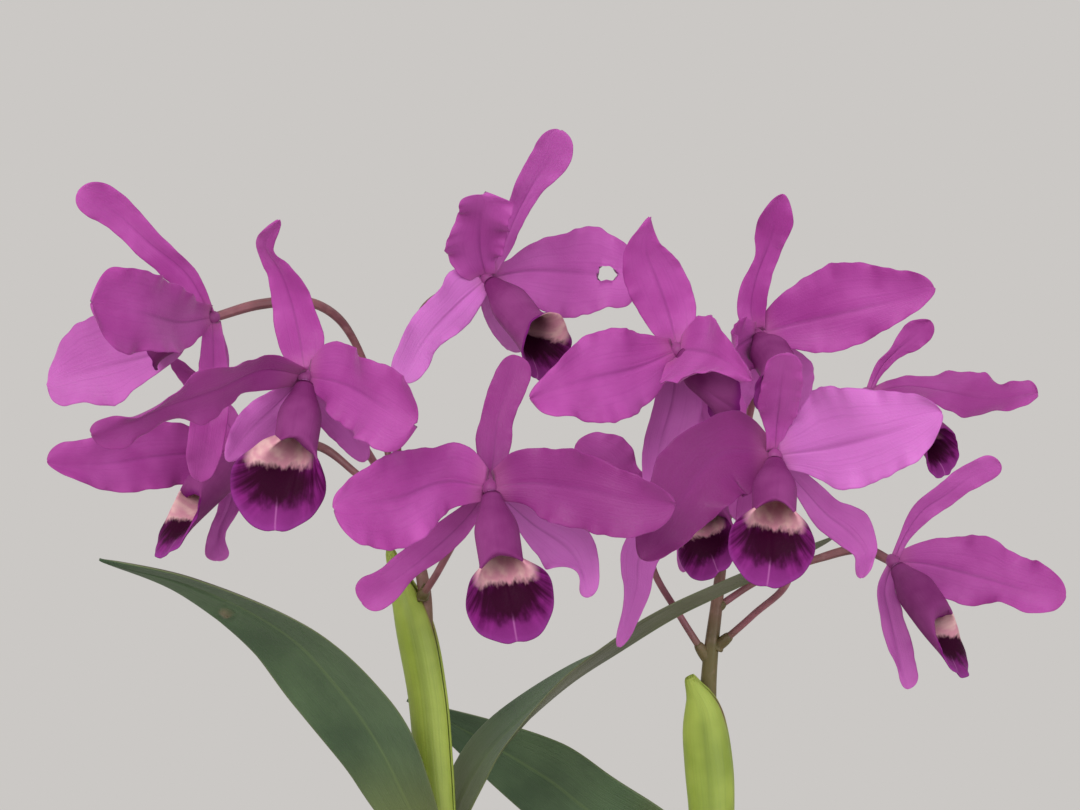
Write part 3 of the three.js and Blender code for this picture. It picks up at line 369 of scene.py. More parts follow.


# %% [markdown]
# ## The petals' finish
# A petal of this orchid is a soft rose-purple with a satin bloom. It is paler at its narrow foot, a darker
# vein runs down the middle with fine ones beside it, and the tissue sparkles because its skin is made of
# tiny domes. A little light passes through it, which subsurface scattering gives. Its rim is painted a
# little darker, which is painted shade where the edges curl.

# %% Make the petal finish
def petal_finish():
    finish = Finish("petal", Roughness=0.55, Subsurface_Weight=0.25, Sheen_Weight=0.1)
    finish.shader.inputs["Subsurface Radius"].default_value = (0.6, 0.25, 0.5)
    finish.shader.inputs["Subsurface Scale"].default_value = 0.0015
    finish.shader.inputs["Specular IOR Level"].default_value = 0.3
    place, (u, v) = finish.place(), finish.parts(finish.uv())
    across = finish.maths("ABSOLUTE", finish.maths("MULTIPLY_ADD", v, 2.0, -1.0))
    clouds = finish.noise(place, 70, 3)
    colour = finish.mix(finish.step(clouds, 0.3, 0.7), srgb(162, 54, 146), srgb(184, 80, 170))
    # The tone mark lightens and darkens whole blades: their own tone, with painted light and painted shade
    # on some of them.
    tone = finish.mark("tone")
    colour = finish.mix(finish.step(tone, 0, 1), colour, srgb(206, 118, 202))
    colour = finish.mix(finish.step(tone, 0, -1), colour, srgb(124, 30, 108))
    ribs = finish.noise(finish.scaled(finish.uv(), 1.2, 30), 1.0, 3, 0.15)
    colour = finish.mix(finish.step(ribs, 0.45, 0.8, 0, 0.18), colour, srgb(132, 36, 124))
    vein = finish.maths("MULTIPLY", finish.step(across, 0.09, 0.0), finish.step(u, 1.0, 0.35))
    colour = finish.mix(finish.maths("MULTIPLY", vein, 0.4), colour, srgb(126, 36, 114))
    colour = finish.mix(finish.step(u, 0.16, 0.03, 0, 0.3), colour, srgb(184, 108, 150))
    # The rim of each blade is painted darker: painted shade where the edges curl.
    colour = finish.mix(finish.step(across, 0.95, 1.0, 0, 0.35), colour, srgb(122, 30, 116))
    # On the petals the stain mark lies only on the receptacle, where it is painted shade: a brownish
    # darkening where the blades meet.
    colour = finish.mix(finish.mark("stain"), colour, srgb(120, 78, 88))
    finish.paint(colour)
    grain = finish.noise(place, 2600, 1)
    finish.gloss(finish.step(grain, 0.3, 0.75, 0.62, 0.42))
    finish.relief((ribs, 0.09), (grain, 0.05))
    return finish.material


PETAL = petal_finish()
print("made the petal finish")

# %% [markdown]
# ## Petals and sepals
# A bloom has a sepal on top, two broad petals, and two sepals below, and behind its lip they all spring
# from one small receptacle. A blade is its middle curve with a width at every station. Across, it is an
# arc, so it is cupped. Its edge waves and its outline is slightly scalloped, more on the broad petals.
# The tip is round because the width falls as the root of one less a power of the way along.

# %% Work out a blade
BLADE_START = 0.8
NARROWEST = 0.35
PETAL_THICKNESS = 0.6
PETAL_GRID = 64, 29
SEPAL_GRID = 50, 17
SEPAL_RUFFLE = 0.55
RUFFLE = 0.42
SCALLOP = 0.014
MIDRIB = 0.35


def chance(*numbers):
    """Random numbers that are the same on every run."""
    return np.random.default_rng(numbers)


def blade_frame(course, u, roll):
    """The way across a blade and the way it faces, square to its course and turned by its roll."""
    chord = unit(course.points[-1] - course.points[0])
    heading = course.heading(u)
    side = np.cross([0, 1.0, 0], chord)
    side = unit(side - (heading @ side)[..., None] * heading)
    face = np.cross(side, heading)
    turn = np.radians(between(roll, u))[..., None]
    return side * np.cos(turn) + face * np.sin(turn), face * np.cos(turn) - side * np.sin(turn)


def blade_outline(u, v, half, tip, rounded=2):
    """Half the blade's width: its sizes along u on the side where v lies, closed round the tip."""
    first, second = half if isinstance(half[0], list) else (half, half)
    close = np.sqrt(np.maximum(1 - u**tip, 0))**(2 / rounded)
    return np.maximum(np.where(v > 0, along(second, u), along(first, u)) * close, NARROWEST)


def blade_middle(course, blade, u, v, ruffle, lot):
    """A blade's middle surface. Across the course it is an arc, sin and 1 - cos of the cup times v. The
    edge waves with the power of v, and fine ruffles and a shallow midrib are added."""
    side, face = blade_frame(course, u, blade.get("roll", [0, 0]))
    width = blade_outline(u, v, blade["half"], blade["tip"], blade.get("round", 2))
    turn = 2 * np.pi
    left = v > 0
    phase = lot.uniform(0, 1, 8)
    scallop = (np.sin(turn * (6.3 * u + np.where(left, phase[0], phase[1])))
               + 0.7 * np.sin(turn * (11.7 * u + np.where(left, phase[2], phase[3]))))
    width = width * (1 + SCALLOP * ruffle * scallop * smooth(u / 0.3) * smooth((1 - u) / 0.08))
    cup = blade["cup"]
    swell = smooth(u / 0.35) * blade.get("wave", 0) * np.abs(v)**2.2
    lift = swell * np.sin(turn * (2.5 * u + np.where(left, 0.37, 0)))
    fine = (np.sin(turn * (5.2 * u + np.where(left, phase[4], phase[5])))
            + 0.6 * np.sin(turn * (9.4 * u + np.where(left, phase[5], phase[6]))))
    lift = lift + RUFFLE * ruffle * fine * np.abs(v)**4 * smooth(u / 0.4)
    lift = lift + 0.35 * ruffle * np.sin(turn * (1.6 * u + phase[6])) * np.sin(turn * (0.55 * v + phase[7]))
    lift = lift - MIDRIB * np.exp(-(v / 0.08)**2) * smooth(u / 0.1) * smooth((1 - u) / 0.5)
    return (course.at(u) + side * (np.sin(cup * v) / cup * width)[..., None]
            + face * ((1 - np.cos(cup * v)) / cup * width + lift)[..., None])


def rim_profile(u, v, start=0.0):
    """The share of the thickness at u, v: an ellipse's edge across the blade, and at both its ends."""
    across = np.sqrt(np.maximum(1 - np.abs(v)**5, 0))
    tip = np.sqrt(np.maximum(1 - u**40, 0))
    foot = np.sqrt(np.clip((u - start) / 0.01, 0, 1))
    return across * tip * foot


def blade_grid(rows, columns, start):
    """Stations along u, closer near the tip, and across v, closer near the edges."""
    t = np.linspace(0, 1, rows)[:, None]
    s = np.linspace(-1, 1, columns)[None, :]
    u = 1 - (1 - start) * (1 - t)**1.7
    v = np.sin(np.pi / 2 * s)
    return np.broadcast_to(u, (rows, columns)).copy(), np.broadcast_to(v, (rows, columns)).copy()


# %% [markdown]
# ## One petal is bitten
# The right petal of the fourth bloom has a ragged hole near its tip. Instead of cutting, the grid is
# pushed apart: its lines near the hole spread outwards, so a small block of cells covers the hole, and
# that block is left out.

# %% Open a hole in a grid
BITTEN = dict(bloom=4, blade=2, at=(608, 272), radius=2.4, reach=2.6, cells=3)


def open_hole(u, v, course, blade, lot):
    """Moves the grid's places so that those within reach of the hole's middle lie outside its ragged
    outline: a distance d becomes the hole's radius plus d times what is left of the reach."""
    x, y = sighted(blade_middle(course, blade, u, v, 1.0, lot))
    away = np.hypot(x - BITTEN["at"][0], y - BITTEN["at"][1])
    i, j = np.unravel_index(np.argmin(away), away.shape)
    i, j = int(i), int(j)
    width = float(blade_outline(u[i, j], v[i, j], blade["half"], blade["tip"]))
    du, dv = (u - u[i, j]) * course.length, (v - v[i, j]) * width
    distance, angle = np.hypot(du, dv), np.arctan2(dv, du)
    ragged = 1 + 0.25 * np.cos(2 * angle) + 0.08 * np.sin(3 * angle + 0.6) + 0.06 * np.sin(5 * angle + 2)
    hole = BITTEN["radius"] * ragged
    reach = BITTEN["reach"] * BITTEN["radius"]
    cells_out = BITTEN["cells"]
    rows, columns = (i - cells_out, i + cells_out), (j - cells_out, j + cells_out)
    inner = np.zeros(u.shape, bool)
    inner[rows[0]:rows[1] + 1, columns[0]:columns[1] + 1] = True
    rows_off, columns_off = np.arange(u.shape[0])[:, None] - i, np.arange(u.shape[1])[None, :] - j
    rim = np.maximum(np.abs(rows_off), np.abs(columns_off)) == cells_out
    edge = distance[rim].mean()
    spread = np.where(distance < reach, hole + (distance - edge) * (reach - hole) / (reach - edge), distance)
    spread = np.where(inner, np.where(rim, hole, hole * distance / edge), spread)
    scale = spread / np.maximum(distance, 1e-6)
    near = distance < reach
    u = np.where(near, u[i, j] + du * scale / course.length, u)
    v = np.where(near, v[i, j] + dv * scale / width, v)
    return u, np.clip(v, -1, 1), (rows, columns)


# %% [markdown]
# ## The blooms' places and sizes
# Each blade lists its course after the bloom's centre, as places in the picture with a depth, then its
# half width in millimetres from base to tip, its roll in degrees, its cup, its wave in millimetres and how
# blunt its tip is. The blades are the upper sepal, the two petals, and the two lower sepals.

# %% The eleven blooms
BLOOMS = [
  dict(
    centre=[212, 318, -5],
    blades=[
      dict(course=[[188, 275, -8], [150, 243, -12], [112, 210, -16], [77, 193, -20]],
        half=[[1.6, 4.6, 4, 4, 5.4], [1.4, 2.4, 3.2, 4.6, 7]],
        roll=[25, 10, 0], cup=0.4, wave=0.3, tip=11),
      dict(course=[[180, 322, -20], [145, 314, -34], [91, 303, -44]],
        half=[[3, 4, 7, 7.6, 8.5, 10.5, 7], [3, 4.5, 6.8, 8.4, 9.2, 10, 12]], cup=0.4, wave=1, tip=12),
      dict(course=[[160, 352, 6], [105, 366, 12], [47, 384, 16]],
        half=[[2, 2, 3.4, 6.4, 10.4, 8, 10], [2.5, 5.5, 10, 12, 12.5, 10.5, 7]],
        roll=[10, 0, -10], cup=0.3, wave=1.1, tip=12),
      dict(course=[[213, 352, -12], [213, 390, -16], [207, 435, -18], [199, 481, -14]],
        half=[2, 3, 4.1, 4.5, 4.9], roll=[20, 10, 0], cup=0.4, wave=0.3, tip=8),
      dict(course=[[215, 348, 6], [213, 395, 14], [202, 440, 20]],
        half=[1.6, 3, 4, 4, 3.6], cup=0.3, wave=0.3, tip=6),
    ],
    lip=dict(mouth=[168, 334, -6], rim=[142, 340, -2], rimRadius=8, facing=[-0.9, -0.1, -0.3]),
  ),
  dict(
    centre=[306, 376, -42],
    blades=[
      dict(course=[[299, 336, -40], [291, 302, -40], [280, 270, -43], [266, 245, -47], [279, 220, -54]],
        half=[[2.2, 4.6, 4.8, 3.6, 3.2, 2.4, 2], [2, 5.4, 5, 4.6, 2.2, 2.3, 2]],
        roll=[0, 0, 10, 30, 20], cup=0.3, wave=0.2, tip=7),
      dict(course=[[262, 371, -48], [215, 389, -56], [165, 408, -62], [130, 423, -65], [91, 434, -68]],
        half=[[2.5, 4.6, 6.2, 7, 4, 4.4, 6.5], [2.5, 5.2, 7, 7.4, 3.8, 2.6, 4.5]],
        roll=[55, 52, 50, 45, 35], cup=0.4, wave=1.2, tip=10),
      dict(course=[[345, 384, -50], [380, 403, -60], [415, 424, -66]],
        half=[[3, 8, 8.6, 7.6, 8.2, 8.2, 7], [2.5, 4.4, 7.2, 8.4, 8.8, 9.2, 12]],
        roll=[0, -10, 0], cup=0.4, wave=1.2, tip=12),
      dict(course=[[276, 405, -40], [250, 430, -42], [227, 461, -46]],
        half=[[2, 3.2, 5.6, 4, 3], [2, 2.8, 4.2, 3.8, 2.6]], roll=[10, 0], cup=0.3, wave=0.3, tip=7),
      dict(course=[[331, 408, -38], [351, 432, -38], [366, 461, -40]],
        half=[[2, 2.8, 3, 3, 2.8], [2, 4, 4.6, 4.2, 3.2]], roll=[10, 10], cup=0.3, wave=0.3, tip=7),
    ],
    lip=dict(mouth=[296, 444, -52], rim=[277, 484, -54], rimRadius=10.2, facing=[-0.05, -1, 0.1]),
  ),
  dict(
    centre=[245, 452, 12],
    blades=[
      dict(course=[[225, 420, 12], [200, 387, 10], [171, 357, 6]],
        half=[[2, 2.8, 3.2, 3, 2.6], [2, 4.4, 3.9, 2.6, 1.8]], roll=[30, 10], cup=0.3, wave=0.3, tip=6),
      dict(course=[[200, 452, 8], [150, 457, 2], [100, 464, -4], [47, 461, -8]],
        half=[[3, 6.2, 7.6, 7.8, 7.4, 4.8, 3], [3, 4.2, 7.4, 9, 8.4, 6.4, 7]],
        cup=0.3, wave=1.2, tip=10),
      dict(course=[[262, 470, 24], [280, 495, 34], [288, 515, 40]],
        half=[3, 7, 8, 7, 6], roll=[40, 40], cup=0.4, wave=1, tip=6),
      dict(course=[[237, 480, 10], [228, 510, 7], [219, 532, 4], [217, 561, 2]],
        half=[[1.6, 2, 2.4, 2.6, 1.9, 2, 5], [1.6, 2.4, 2.7, 2.7, 2.2, 2.8, 4.6]],
        roll=[20, 10, 0], cup=0.3, wave=0.4, tip=14),
      dict(course=[[265, 430, 22], [280, 425, 34], [300, 440, 44]],
        half=[2, 4, 4, 4, 3], roll=[30, 30], cup=0.3, wave=0.3, tip=6),
    ],
    lip=dict(mouth=[205, 489, -2], rim=[175, 524, -8], rimRadius=8.8, facing=[-0.7, -0.4, 0.5]),
  ),
  dict(
    centre=[487, 278, 8],
    bitten=dict(petal=2, at=[608, 272], radius=2.4),
    blades=[
      dict(course=[[505, 243, 8], [518, 212, 5], [532, 185, 0], [548, 160, -4], [560, 130, -8]],
        half=[[1.6, 1.6, 2.6, 3.2, 4.1, 4.6, 5], [1.6, 2.2, 2.6, 2.8, 3.4, 5.4, 6.5]],
        roll=[20, 20, 0, 0], cup=0.3, wave=0.3, tip=12),
      dict(course=[[480, 250, 2], [480, 222, -4], [483, 194, -10]],
        half=[[3, 6.4, 8.2, 8.4, 6.2, 5.5, 7.5], [2.5, 3, 5.4, 6.6, 7.4, 7.6, 12]],
        roll=[-10, 10], cup=0.5, wave=1.6, tip=14),
      dict(course=[[530, 270, 12], [580, 272, 16], [640, 277, 16]],
        half=[[2.5, 3.4, 7, 9.2, 11.6, 10, 8], [2.5, 6, 9.8, 11.6, 10.8, 9, 12]],
        cup=0.2, wave=0.6, tip=10),
      dict(course=[[452, 309, 2], [425, 339, -4], [401, 382, -8]],
        half=[[2, 4, 5.4, 5, 3.8, 4.5, 5], [2.5, 7, 5.6, 5.6, 5.5, 5, 6]],
        roll=[0, 10, 0], cup=0.3, wave=0.8, tip=10),
      dict(course=[[497, 305, 16], [510, 332, 24], [520, 352, 30]],
        half=[2, 4, 4.4, 4, 3.4], roll=[10, 10], cup=0.3, wave=0.3, tip=6),
    ],
    lip=dict(mouth=[527, 326, -6], rim=[550, 348, -10], rimRadius=8.4, facing=[0.72, -0.65, -0.1]),
  ),
  dict(
    centre=[490, 487, -48],
    blades=[
      dict(course=[[494, 450, -46], [498, 420, -45], [507, 390, -43], [516, 355, -42]],
        half=[[2, 3, 4.3, 3.8, 4.1, 3.9, 3.6], [2, 2.8, 3.7, 3.4, 3.8, 4.8, 6]],
        cup=0.3, wave=0.2, tip=10),
      dict(course=[[445, 482, -50], [395, 498, -58], [334, 509, -64]],
        half=[[3, 5.2, 7.2, 9.2, 11, 10, 10], [3, 8.2, 8, 9.4, 9.4, 7.6, 6]], cup=0.3, wave=0.8, tip=10),
      dict(course=[[540, 483, -53], [590, 490, -60], [635, 500, -65], [675, 504, -68]],
        half=[[3, 7.2, 7.6, 8.2, 6.2, 5.6, 4.6], [3, 4.4, 7.6, 8.6, 8.8, 8.2, 7]],
        roll=[0, 0, -5], cup=0.35, wave=1.2, tip=10),
      dict(course=[[458, 527, -42], [415, 565, -40], [361, 602, -38]],
        half=[[1.8, 2.2, 2.8, 2.8, 2.2, 4, 5.6], [1.8, 2.2, 3.6, 4.2, 4.4, 4.2, 6.8]],
        roll=[0, 0, 10], cup=0.3, wave=0.3, tip=14),
      dict(course=[[530, 522, -42], [572, 553, -42], [590, 597, -46]],
        half=[[2, 3.4, 4.6, 5.2, 5.9, 4.2, 3.2], [2, 1.6, 2.9, 5, 6.6, 1, 3.2]],
        roll=[0, 0, 20], cup=0.3, wave=0.4, tip=16),
    ],
    lip=dict(mouth=[501, 560, -60], rim=[510, 600, -60], rimRadius=9.4, facing=[0, -1, 0.05]),
  ),
  dict(
    centre=[678, 350, -25],
    blades=[
      dict(course=[[668, 312, -24], [657, 280, -26], [646, 248, -30], [650, 217, -34]],
        half=[[2, 5, 6.4, 7.2, 6.8, 4.8, 2.6], [2, 5.6, 6.8, 6.6, 5.6, 3.4, 1]],
        cup=0.3, wave=0.3, tip=8, round=1.4),
      dict(course=[[640, 366, -30], [590, 378, -38], [530, 398, -44]],
        half=[[2.5, 5.8, 9.2, 11, 10.4, 7.4, 8], [2.5, 6.4, 9, 9.8, 8.4, 5.2, 3]],
        cup=0.3, wave=0.8, tip=9),
      dict(course=[[697, 350, -36], [718, 356, -48], [752, 381, -58]],
        half=[[3, 7, 8.5, 7, 4.5, 3, 2], [3, 9.5, 11.5, 10, 6, 3, 2]],
        roll=[0, 10], cup=0.6, wave=0.6, tip=9),
      dict(course=[[672, 400, -22], [660, 445, -22], [652, 500, -26]],
        half=[[3, 6.4, 7.4, 6, 4], [3, 4, 3.9, 4, 3.4]], cup=0.3, wave=0.4, tip=6),
      dict(course=[[695, 390, -16], [706, 430, -12], [716, 470, -10]],
        half=[3, 5.4, 6, 5, 4], cup=0.3, wave=0.3, tip=6),
    ],
    lip=dict(mouth=[716, 384, -36], rim=[727, 398, -38], rimRadius=6.6, facing=[0.86, 0.5, 0]),
  ),
  dict(
    centre=[775, 455, -45],
    blades=[
      dict(course=[[777, 424, -48], [780, 395, -56], [785, 353, -66]],
        half=[[2, 2.4, 3.8, 4.8, 4.5, 4.6, 6], [2, 2.2, 3.8, 4.4, 4.6, 4.5, 5.4]],
        cup=0.4, wave=0.3, tip=10),
      dict(course=[[720, 455, -49], [685, 495, -53], [643, 560, -57]],
        half=[[3, 10, 10.6, 9.4, 7.4, 6.2, 4.6], [3, 9.4, 8, 9.6, 7.8, 6.6, 4.6]],
        roll=[-10, -10], cup=0.3, wave=1, tip=9),
      dict(course=[[825, 448, -50], [880, 434, -58], [942, 413, -64]],
        half=[[3, 8.4, 13, 12.4, 9.8, 7.8, 6.6], [3, 5, 9.2, 9.8, 8.8, 7.8, 4.4]],
        cup=0.25, wave=0.8, tip=10),
      dict(course=[[800, 485, -42], [825, 513, -40], [850, 533, -40], [866, 553, -42], [862, 578, -46]],
        half=[[2, 2.5, 3.5, 4.1, 5.6, 2.8, 3.2], [2, 1.8, 2.5, 3.6, 3.7, 2.9, 3.4]],
        cup=0.3, wave=0.4, tip=10),
      dict(course=[[761, 490, -36], [750, 525, -34], [744, 552, -34]],
        half=[2, 4, 4.6, 4, 3], cup=0.3, wave=0.3, tip=6),
    ],
    lip=dict(mouth=[774, 512, -58], rim=[772, 545, -60], rimRadius=9, facing=[0, -1, 0.1]),
  ),
  dict(
    centre=[700, 470, 5],
    blades=[
      dict(course=[[715, 440, 8], [730, 415, 12], [738, 390, 16]],
        half=[2, 4, 4.4, 4, 3], cup=0.3, wave=0.3, tip=6),
      dict(course=[[668, 480, 12], [635, 482, 14], [605, 464, 13], [577, 442, 12]],
        half=[[2, 3.5, 5, 6, 5], [2, 2.4, 3.4, 8.4, 7]], roll=[10, 10], cup=0.3, wave=0.8, tip=9),
      dict(course=[[735, 485, 14], [765, 500, 22], [792, 515, 26]],
        half=[3, 7, 8, 7, 5], roll=[10, 10], cup=0.3, wave=0.9, tip=6),
      dict(course=[[668, 515, -2], [640, 555, -8], [636, 590, -13], [619, 647, -18]],
        half=[[2, 3.6, 4.1, 4.8, 3.8, 2.9, 2.6], [2, 2.4, 3.8, 4.8, 4.2, 2.2, 2.6]],
        cup=0.4, wave=0.3, tip=9),
      dict(course=[[700, 510, 16], [690, 545, 22], [682, 572, 24]],
        half=[2, 4, 4.4, 4, 3], cup=0.3, wave=0.3, tip=6),
    ],
    lip=dict(mouth=[710, 516, -10], rim=[706, 546, -12], rimRadius=8, facing=[-0.5, -0.65, 0.3]),
  ),
  dict(
    centre=[757, 335, 8],
    blades=[
      dict(course=[[751, 308, 7], [758, 272, 4], [768, 246, 1], [775, 222, -3], [783, 194, -7]],
        half=[[2.6, 3.4, 3.2, 2, 3.9, 4.4, 3.2], [2.2, 3.8, 3.8, 3.6, 3.7, 4.8, 3]],
        roll=[10, 10, 10, 0], cup=0.4, wave=0.3, tip=9),
      dict(course=[[743, 342, 0], [735, 354, -8], [738, 376, -16]],
        half=[3, 5.6, 6.2, 5, 4], roll=[40, 40], cup=0.5, wave=1, tip=6),
      dict(course=[[800, 322, 6], [850, 311, 2], [900, 299, -4], [934, 287, -8]],
        half=[[2.6, 7.2, 10.4, 12.2, 10.4, 7.8, 7], [2.4, 6, 8.6, 8.6, 6.8, 5, 3.8]],
        cup=0.25, wave=0.8, tip=10),
      dict(course=[[775, 365, 12], [788, 395, 16], [796, 420, 18]],
        half=[[2, 5, 8.3, 7, 3.5], [2, 4, 4.6, 4, 3]], cup=0.3, wave=0.3, tip=6),
      dict(course=[[745, 370, 16], [735, 400, 20], [728, 430, 22]],
        half=[2, 4, 4.6, 4, 3], cup=0.3, wave=0.3, tip=6),
    ],
    lip=dict(mouth=[778, 368, -8], rim=[780, 393, -10], rimRadius=6.6, facing=[0.4, -0.8, -0.2]),
  ),
  dict(
    centre=[868, 394, 60],
    blades=[
      dict(course=[[881, 368, 60], [897, 350, 58], [912, 337, 56], [931, 321, 54]],
        half=[[1, 1.4, 1.8, 1.6, 3, 4.1, 2.8], [1, 1, 1.6, 2, 3.4, 4.1, 4.6]],
        roll=[10, 0, 0], cup=0.3, wave=0.3, tip=10),
      dict(course=[[905, 386, 58], [945, 391, 54], [988, 399, 48], [1038, 393, 44]],
        half=[[2, 3, 4.8, 6, 8.4, 4.4, 7.5], [2, 5, 6, 6, 7.6, 6.2, 4.5]],
        roll=[50, 45, 40, 50], cup=0.3, wave=1.2, tip=10),
      dict(course=[[850, 420, 66], [845, 440, 72], [850, 458, 76]],
        half=[3, 6, 7, 6, 5], roll=[20, 20], cup=0.3, wave=0.8, tip=6),
      dict(course=[[885, 415, 62], [898, 438, 64], [905, 456, 64]],
        half=[2, 3.6, 4, 4, 3], cup=0.3, wave=0.3, tip=6),
      dict(course=[[862, 425, 72], [868, 448, 78], [874, 470, 80]],
        half=[2, 3.6, 4, 4, 3], cup=0.3, wave=0.3, tip=6),
    ],
    lip=dict(mouth=[923, 430, 48], rim=[945, 454, 44], rimRadius=6.4, facing=[0.6, -0.75, -0.1]),
  ),
  dict(
    centre=[893, 562, 15],
    blades=[
      dict(course=[[907, 532, 14], [923, 510, 12], [947, 494, 10], [973, 475, 7], [1001, 464, 5]],
        half=[[1, 1.2, 2.2, 3, 3.4, 3.6, 5.4], [1, 1.4, 2.6, 3, 2.8, 3.4, 3.8]],
        roll=[10, 0, 0], cup=0.4, wave=0.3, tip=12),
      dict(course=[[930, 564, 12], [980, 577, 6], [1025, 590, 0], [1066, 595, -4]],
        half=[[2, 5.4, 8.4, 9.8, 8, 7.8, 6.4], [2, 5, 7.4, 7.6, 4.6, 6, 5.6]],
        roll=[10, 10], cup=0.3, wave=1.2, tip=10),
      dict(course=[[907, 569, 26], [935, 576, 38], [962, 586, 46]],
        half=[2.5, 5, 5.5, 5.5, 4.5], roll=[20, 20], cup=0.3, wave=1, tip=6),
      dict(course=[[885, 590, 12], [889, 615, 11], [897, 650, 9], [909, 689, 6]],
        half=[[1, 2, 3.2, 3.4, 4.1, 3.6, 4.2], [1, 1.8, 2.2, 2.4, 2.2, 1.4, 2.6]],
        cup=0.4, wave=0.4, tip=12),
      dict(course=[[915, 596, 26], [938, 622, 34], [956, 648, 40]],
        half=[1.6, 2.6, 3.2, 3.2, 2.6], cup=0.3, wave=0.3, tip=6),
    ],
    lip=dict(mouth=[931, 613, 2], rim=[954, 646, 1], rimRadius=8, facing=[0.78, -0.42, 0.45]),
  ),
]

# %% [markdown]
# ## Making the blooms
# The five blades of a bloom become one piece with the receptacle that they spring from, and with the
# column inside the lip, a short rod that ends in a pale cap. Every blade has its own tone, so that no two
# look alike, and some blades are also painted darker where they face down and lighter where they are lit:
# painted shade and painted light.

# %% Build the petals of each bloom
COLUMN = dict(radius=1.2, length=8.5)
PALE_PLACE = 0.1
TONES = {1: 0.1, 2: 0.0, 3: -0.1, 4: 0.3, 5: -0.2, 6: -0.05, 7: 0.0, 8: 0.1, 9: 0.05, 10: -0.2, 11: -0.1}
# Per bloom and then per blade, how far a blade departs from the rest: partly its own tone, and partly
# painted shade on blades that face down and painted light on lit ones.
BLADE_TONE_PAINTED_LIGHT_AND_SHADE = {
    1: {1: -0.1, 2: 0.5, 3: -0.1},
    2: {1: -0.6, 2: -0.4},
    5: {0: -0.35, 2: -0.55, 4: 0.9},
    6: {1: -0.1, 2: -0.2},
    7: {1: -0.95, 2: 0.65, 4: -0.35},
    9: {2: -0.3},
    10: {1: -0.2, 2: -0.4},
    11: {0: 0.4, 1: -0.1, 2: -0.55},
}
# The lower sepals are painted lighter, as if light came through them from behind: painted light.
LOWER_SEPAL_PAINTED_LIGHT = 0.45
TONE_SPREAD = 0.12


def bloom_centre(bloom):
    """Where a bloom's blades meet, in millimetres."""
    return seen([bloom["centre"]])[0]


def add_blade(shape, number, order, blade, centre):
    """A closed sheet round the blade's middle surface, whose UV is the place along it and across it."""
    course = Course(np.concatenate([centre[None], seen(blade["course"])]))
    petal = order in (1, 2)
    rows, columns = PETAL_GRID if petal else SEPAL_GRID
    start = BLADE_START / course.length
    u, v = blade_grid(rows, columns, start)
    ruffle = 1.0 if petal else SEPAL_RUFFLE
    hole = None
    if (number, order) == (BITTEN["bloom"], BITTEN["blade"]):
        u, v, hole = open_hole(u, v, course, blade, chance(number, order))
    middle = blade_middle(course, blade, u, v, ruffle, chance(number, order))
    profile = rim_profile(u, v, start)
    surface, place, behind = sheet(middle, PETAL_THICKNESS * profile, hole=hole)
    uv = np.stack([u.ravel(), 0.5 + 0.5 * v.ravel()], -1)[place]
    # The blade's own share carries its painted shade and painted light, and the lower sepals' painted light.
    own = BLADE_TONE_PAINTED_LIGHT_AND_SHADE.get(number, {}).get(order, LOWER_SEPAL_PAINTED_LIGHT if order > 2 else 0.0)
    tone = TONES[number] + own + chance(number, order, 7).uniform(-TONE_SPREAD, TONE_SPREAD)
    shape.add(surface, uv, tone=tone)


def make_flower(number, bloom):
    """Five blades, a small tube for the receptacle and one for the column, which is pale to its cap."""
    shape = Shape()
    centre = bloom_centre(bloom)
    for order, blade in enumerate(bloom["blades"]):
        add_blade(shape, number, order, blade, centre)
    axis = unit(seen([bloom["lip"]["mouth"]])[0] - centre)
    behind = centre - np.array([0, -1.0, 0]) * 1.2
    knob, _ = tube([behind - axis * 1.6, centre, centre + axis * 2.2], [1.3, 1.7, 1.5], 14, 18, blunt=1.0)
    # The receptacle is painted darker and brownish by its tone and stain marks: painted shade where the
    # blades meet.
    shape.add(knob, np.full((len(knob[0]), 2), 0.5), tone=-0.1, stain=0.25)
    tip = centre + axis * COLUMN["length"]
    radii = np.array([1.0, 1.0, 1.05, 1.3, 1.15]) * COLUMN["radius"]
    column, way = tube([centre, tip], radii, 22, 16, blunt=0.9)
    shape.add(column, np.full((len(column[0]), 2), PALE_PLACE), tone=1 - 0.3 * smooth(way / 0.8))
    return shape.piece(f"petals_{number}", PETAL, f"bloom_{number}")


for number, bloom in enumerate(BLOOMS, 1):
    make_flower(number, bloom)

# %% [markdown]
# ## The lip's finish
# The lip is the showpiece: outside, it is as purple as the petals. Inside, a pale throat ends in a ragged
# line, below it lies a band that is almost black, and bright purple with radiating veins runs out from
# there to a lighter rim. The UV map holds the place across and down the rim's disc in rim radii, so these
# zones are plain functions of it.

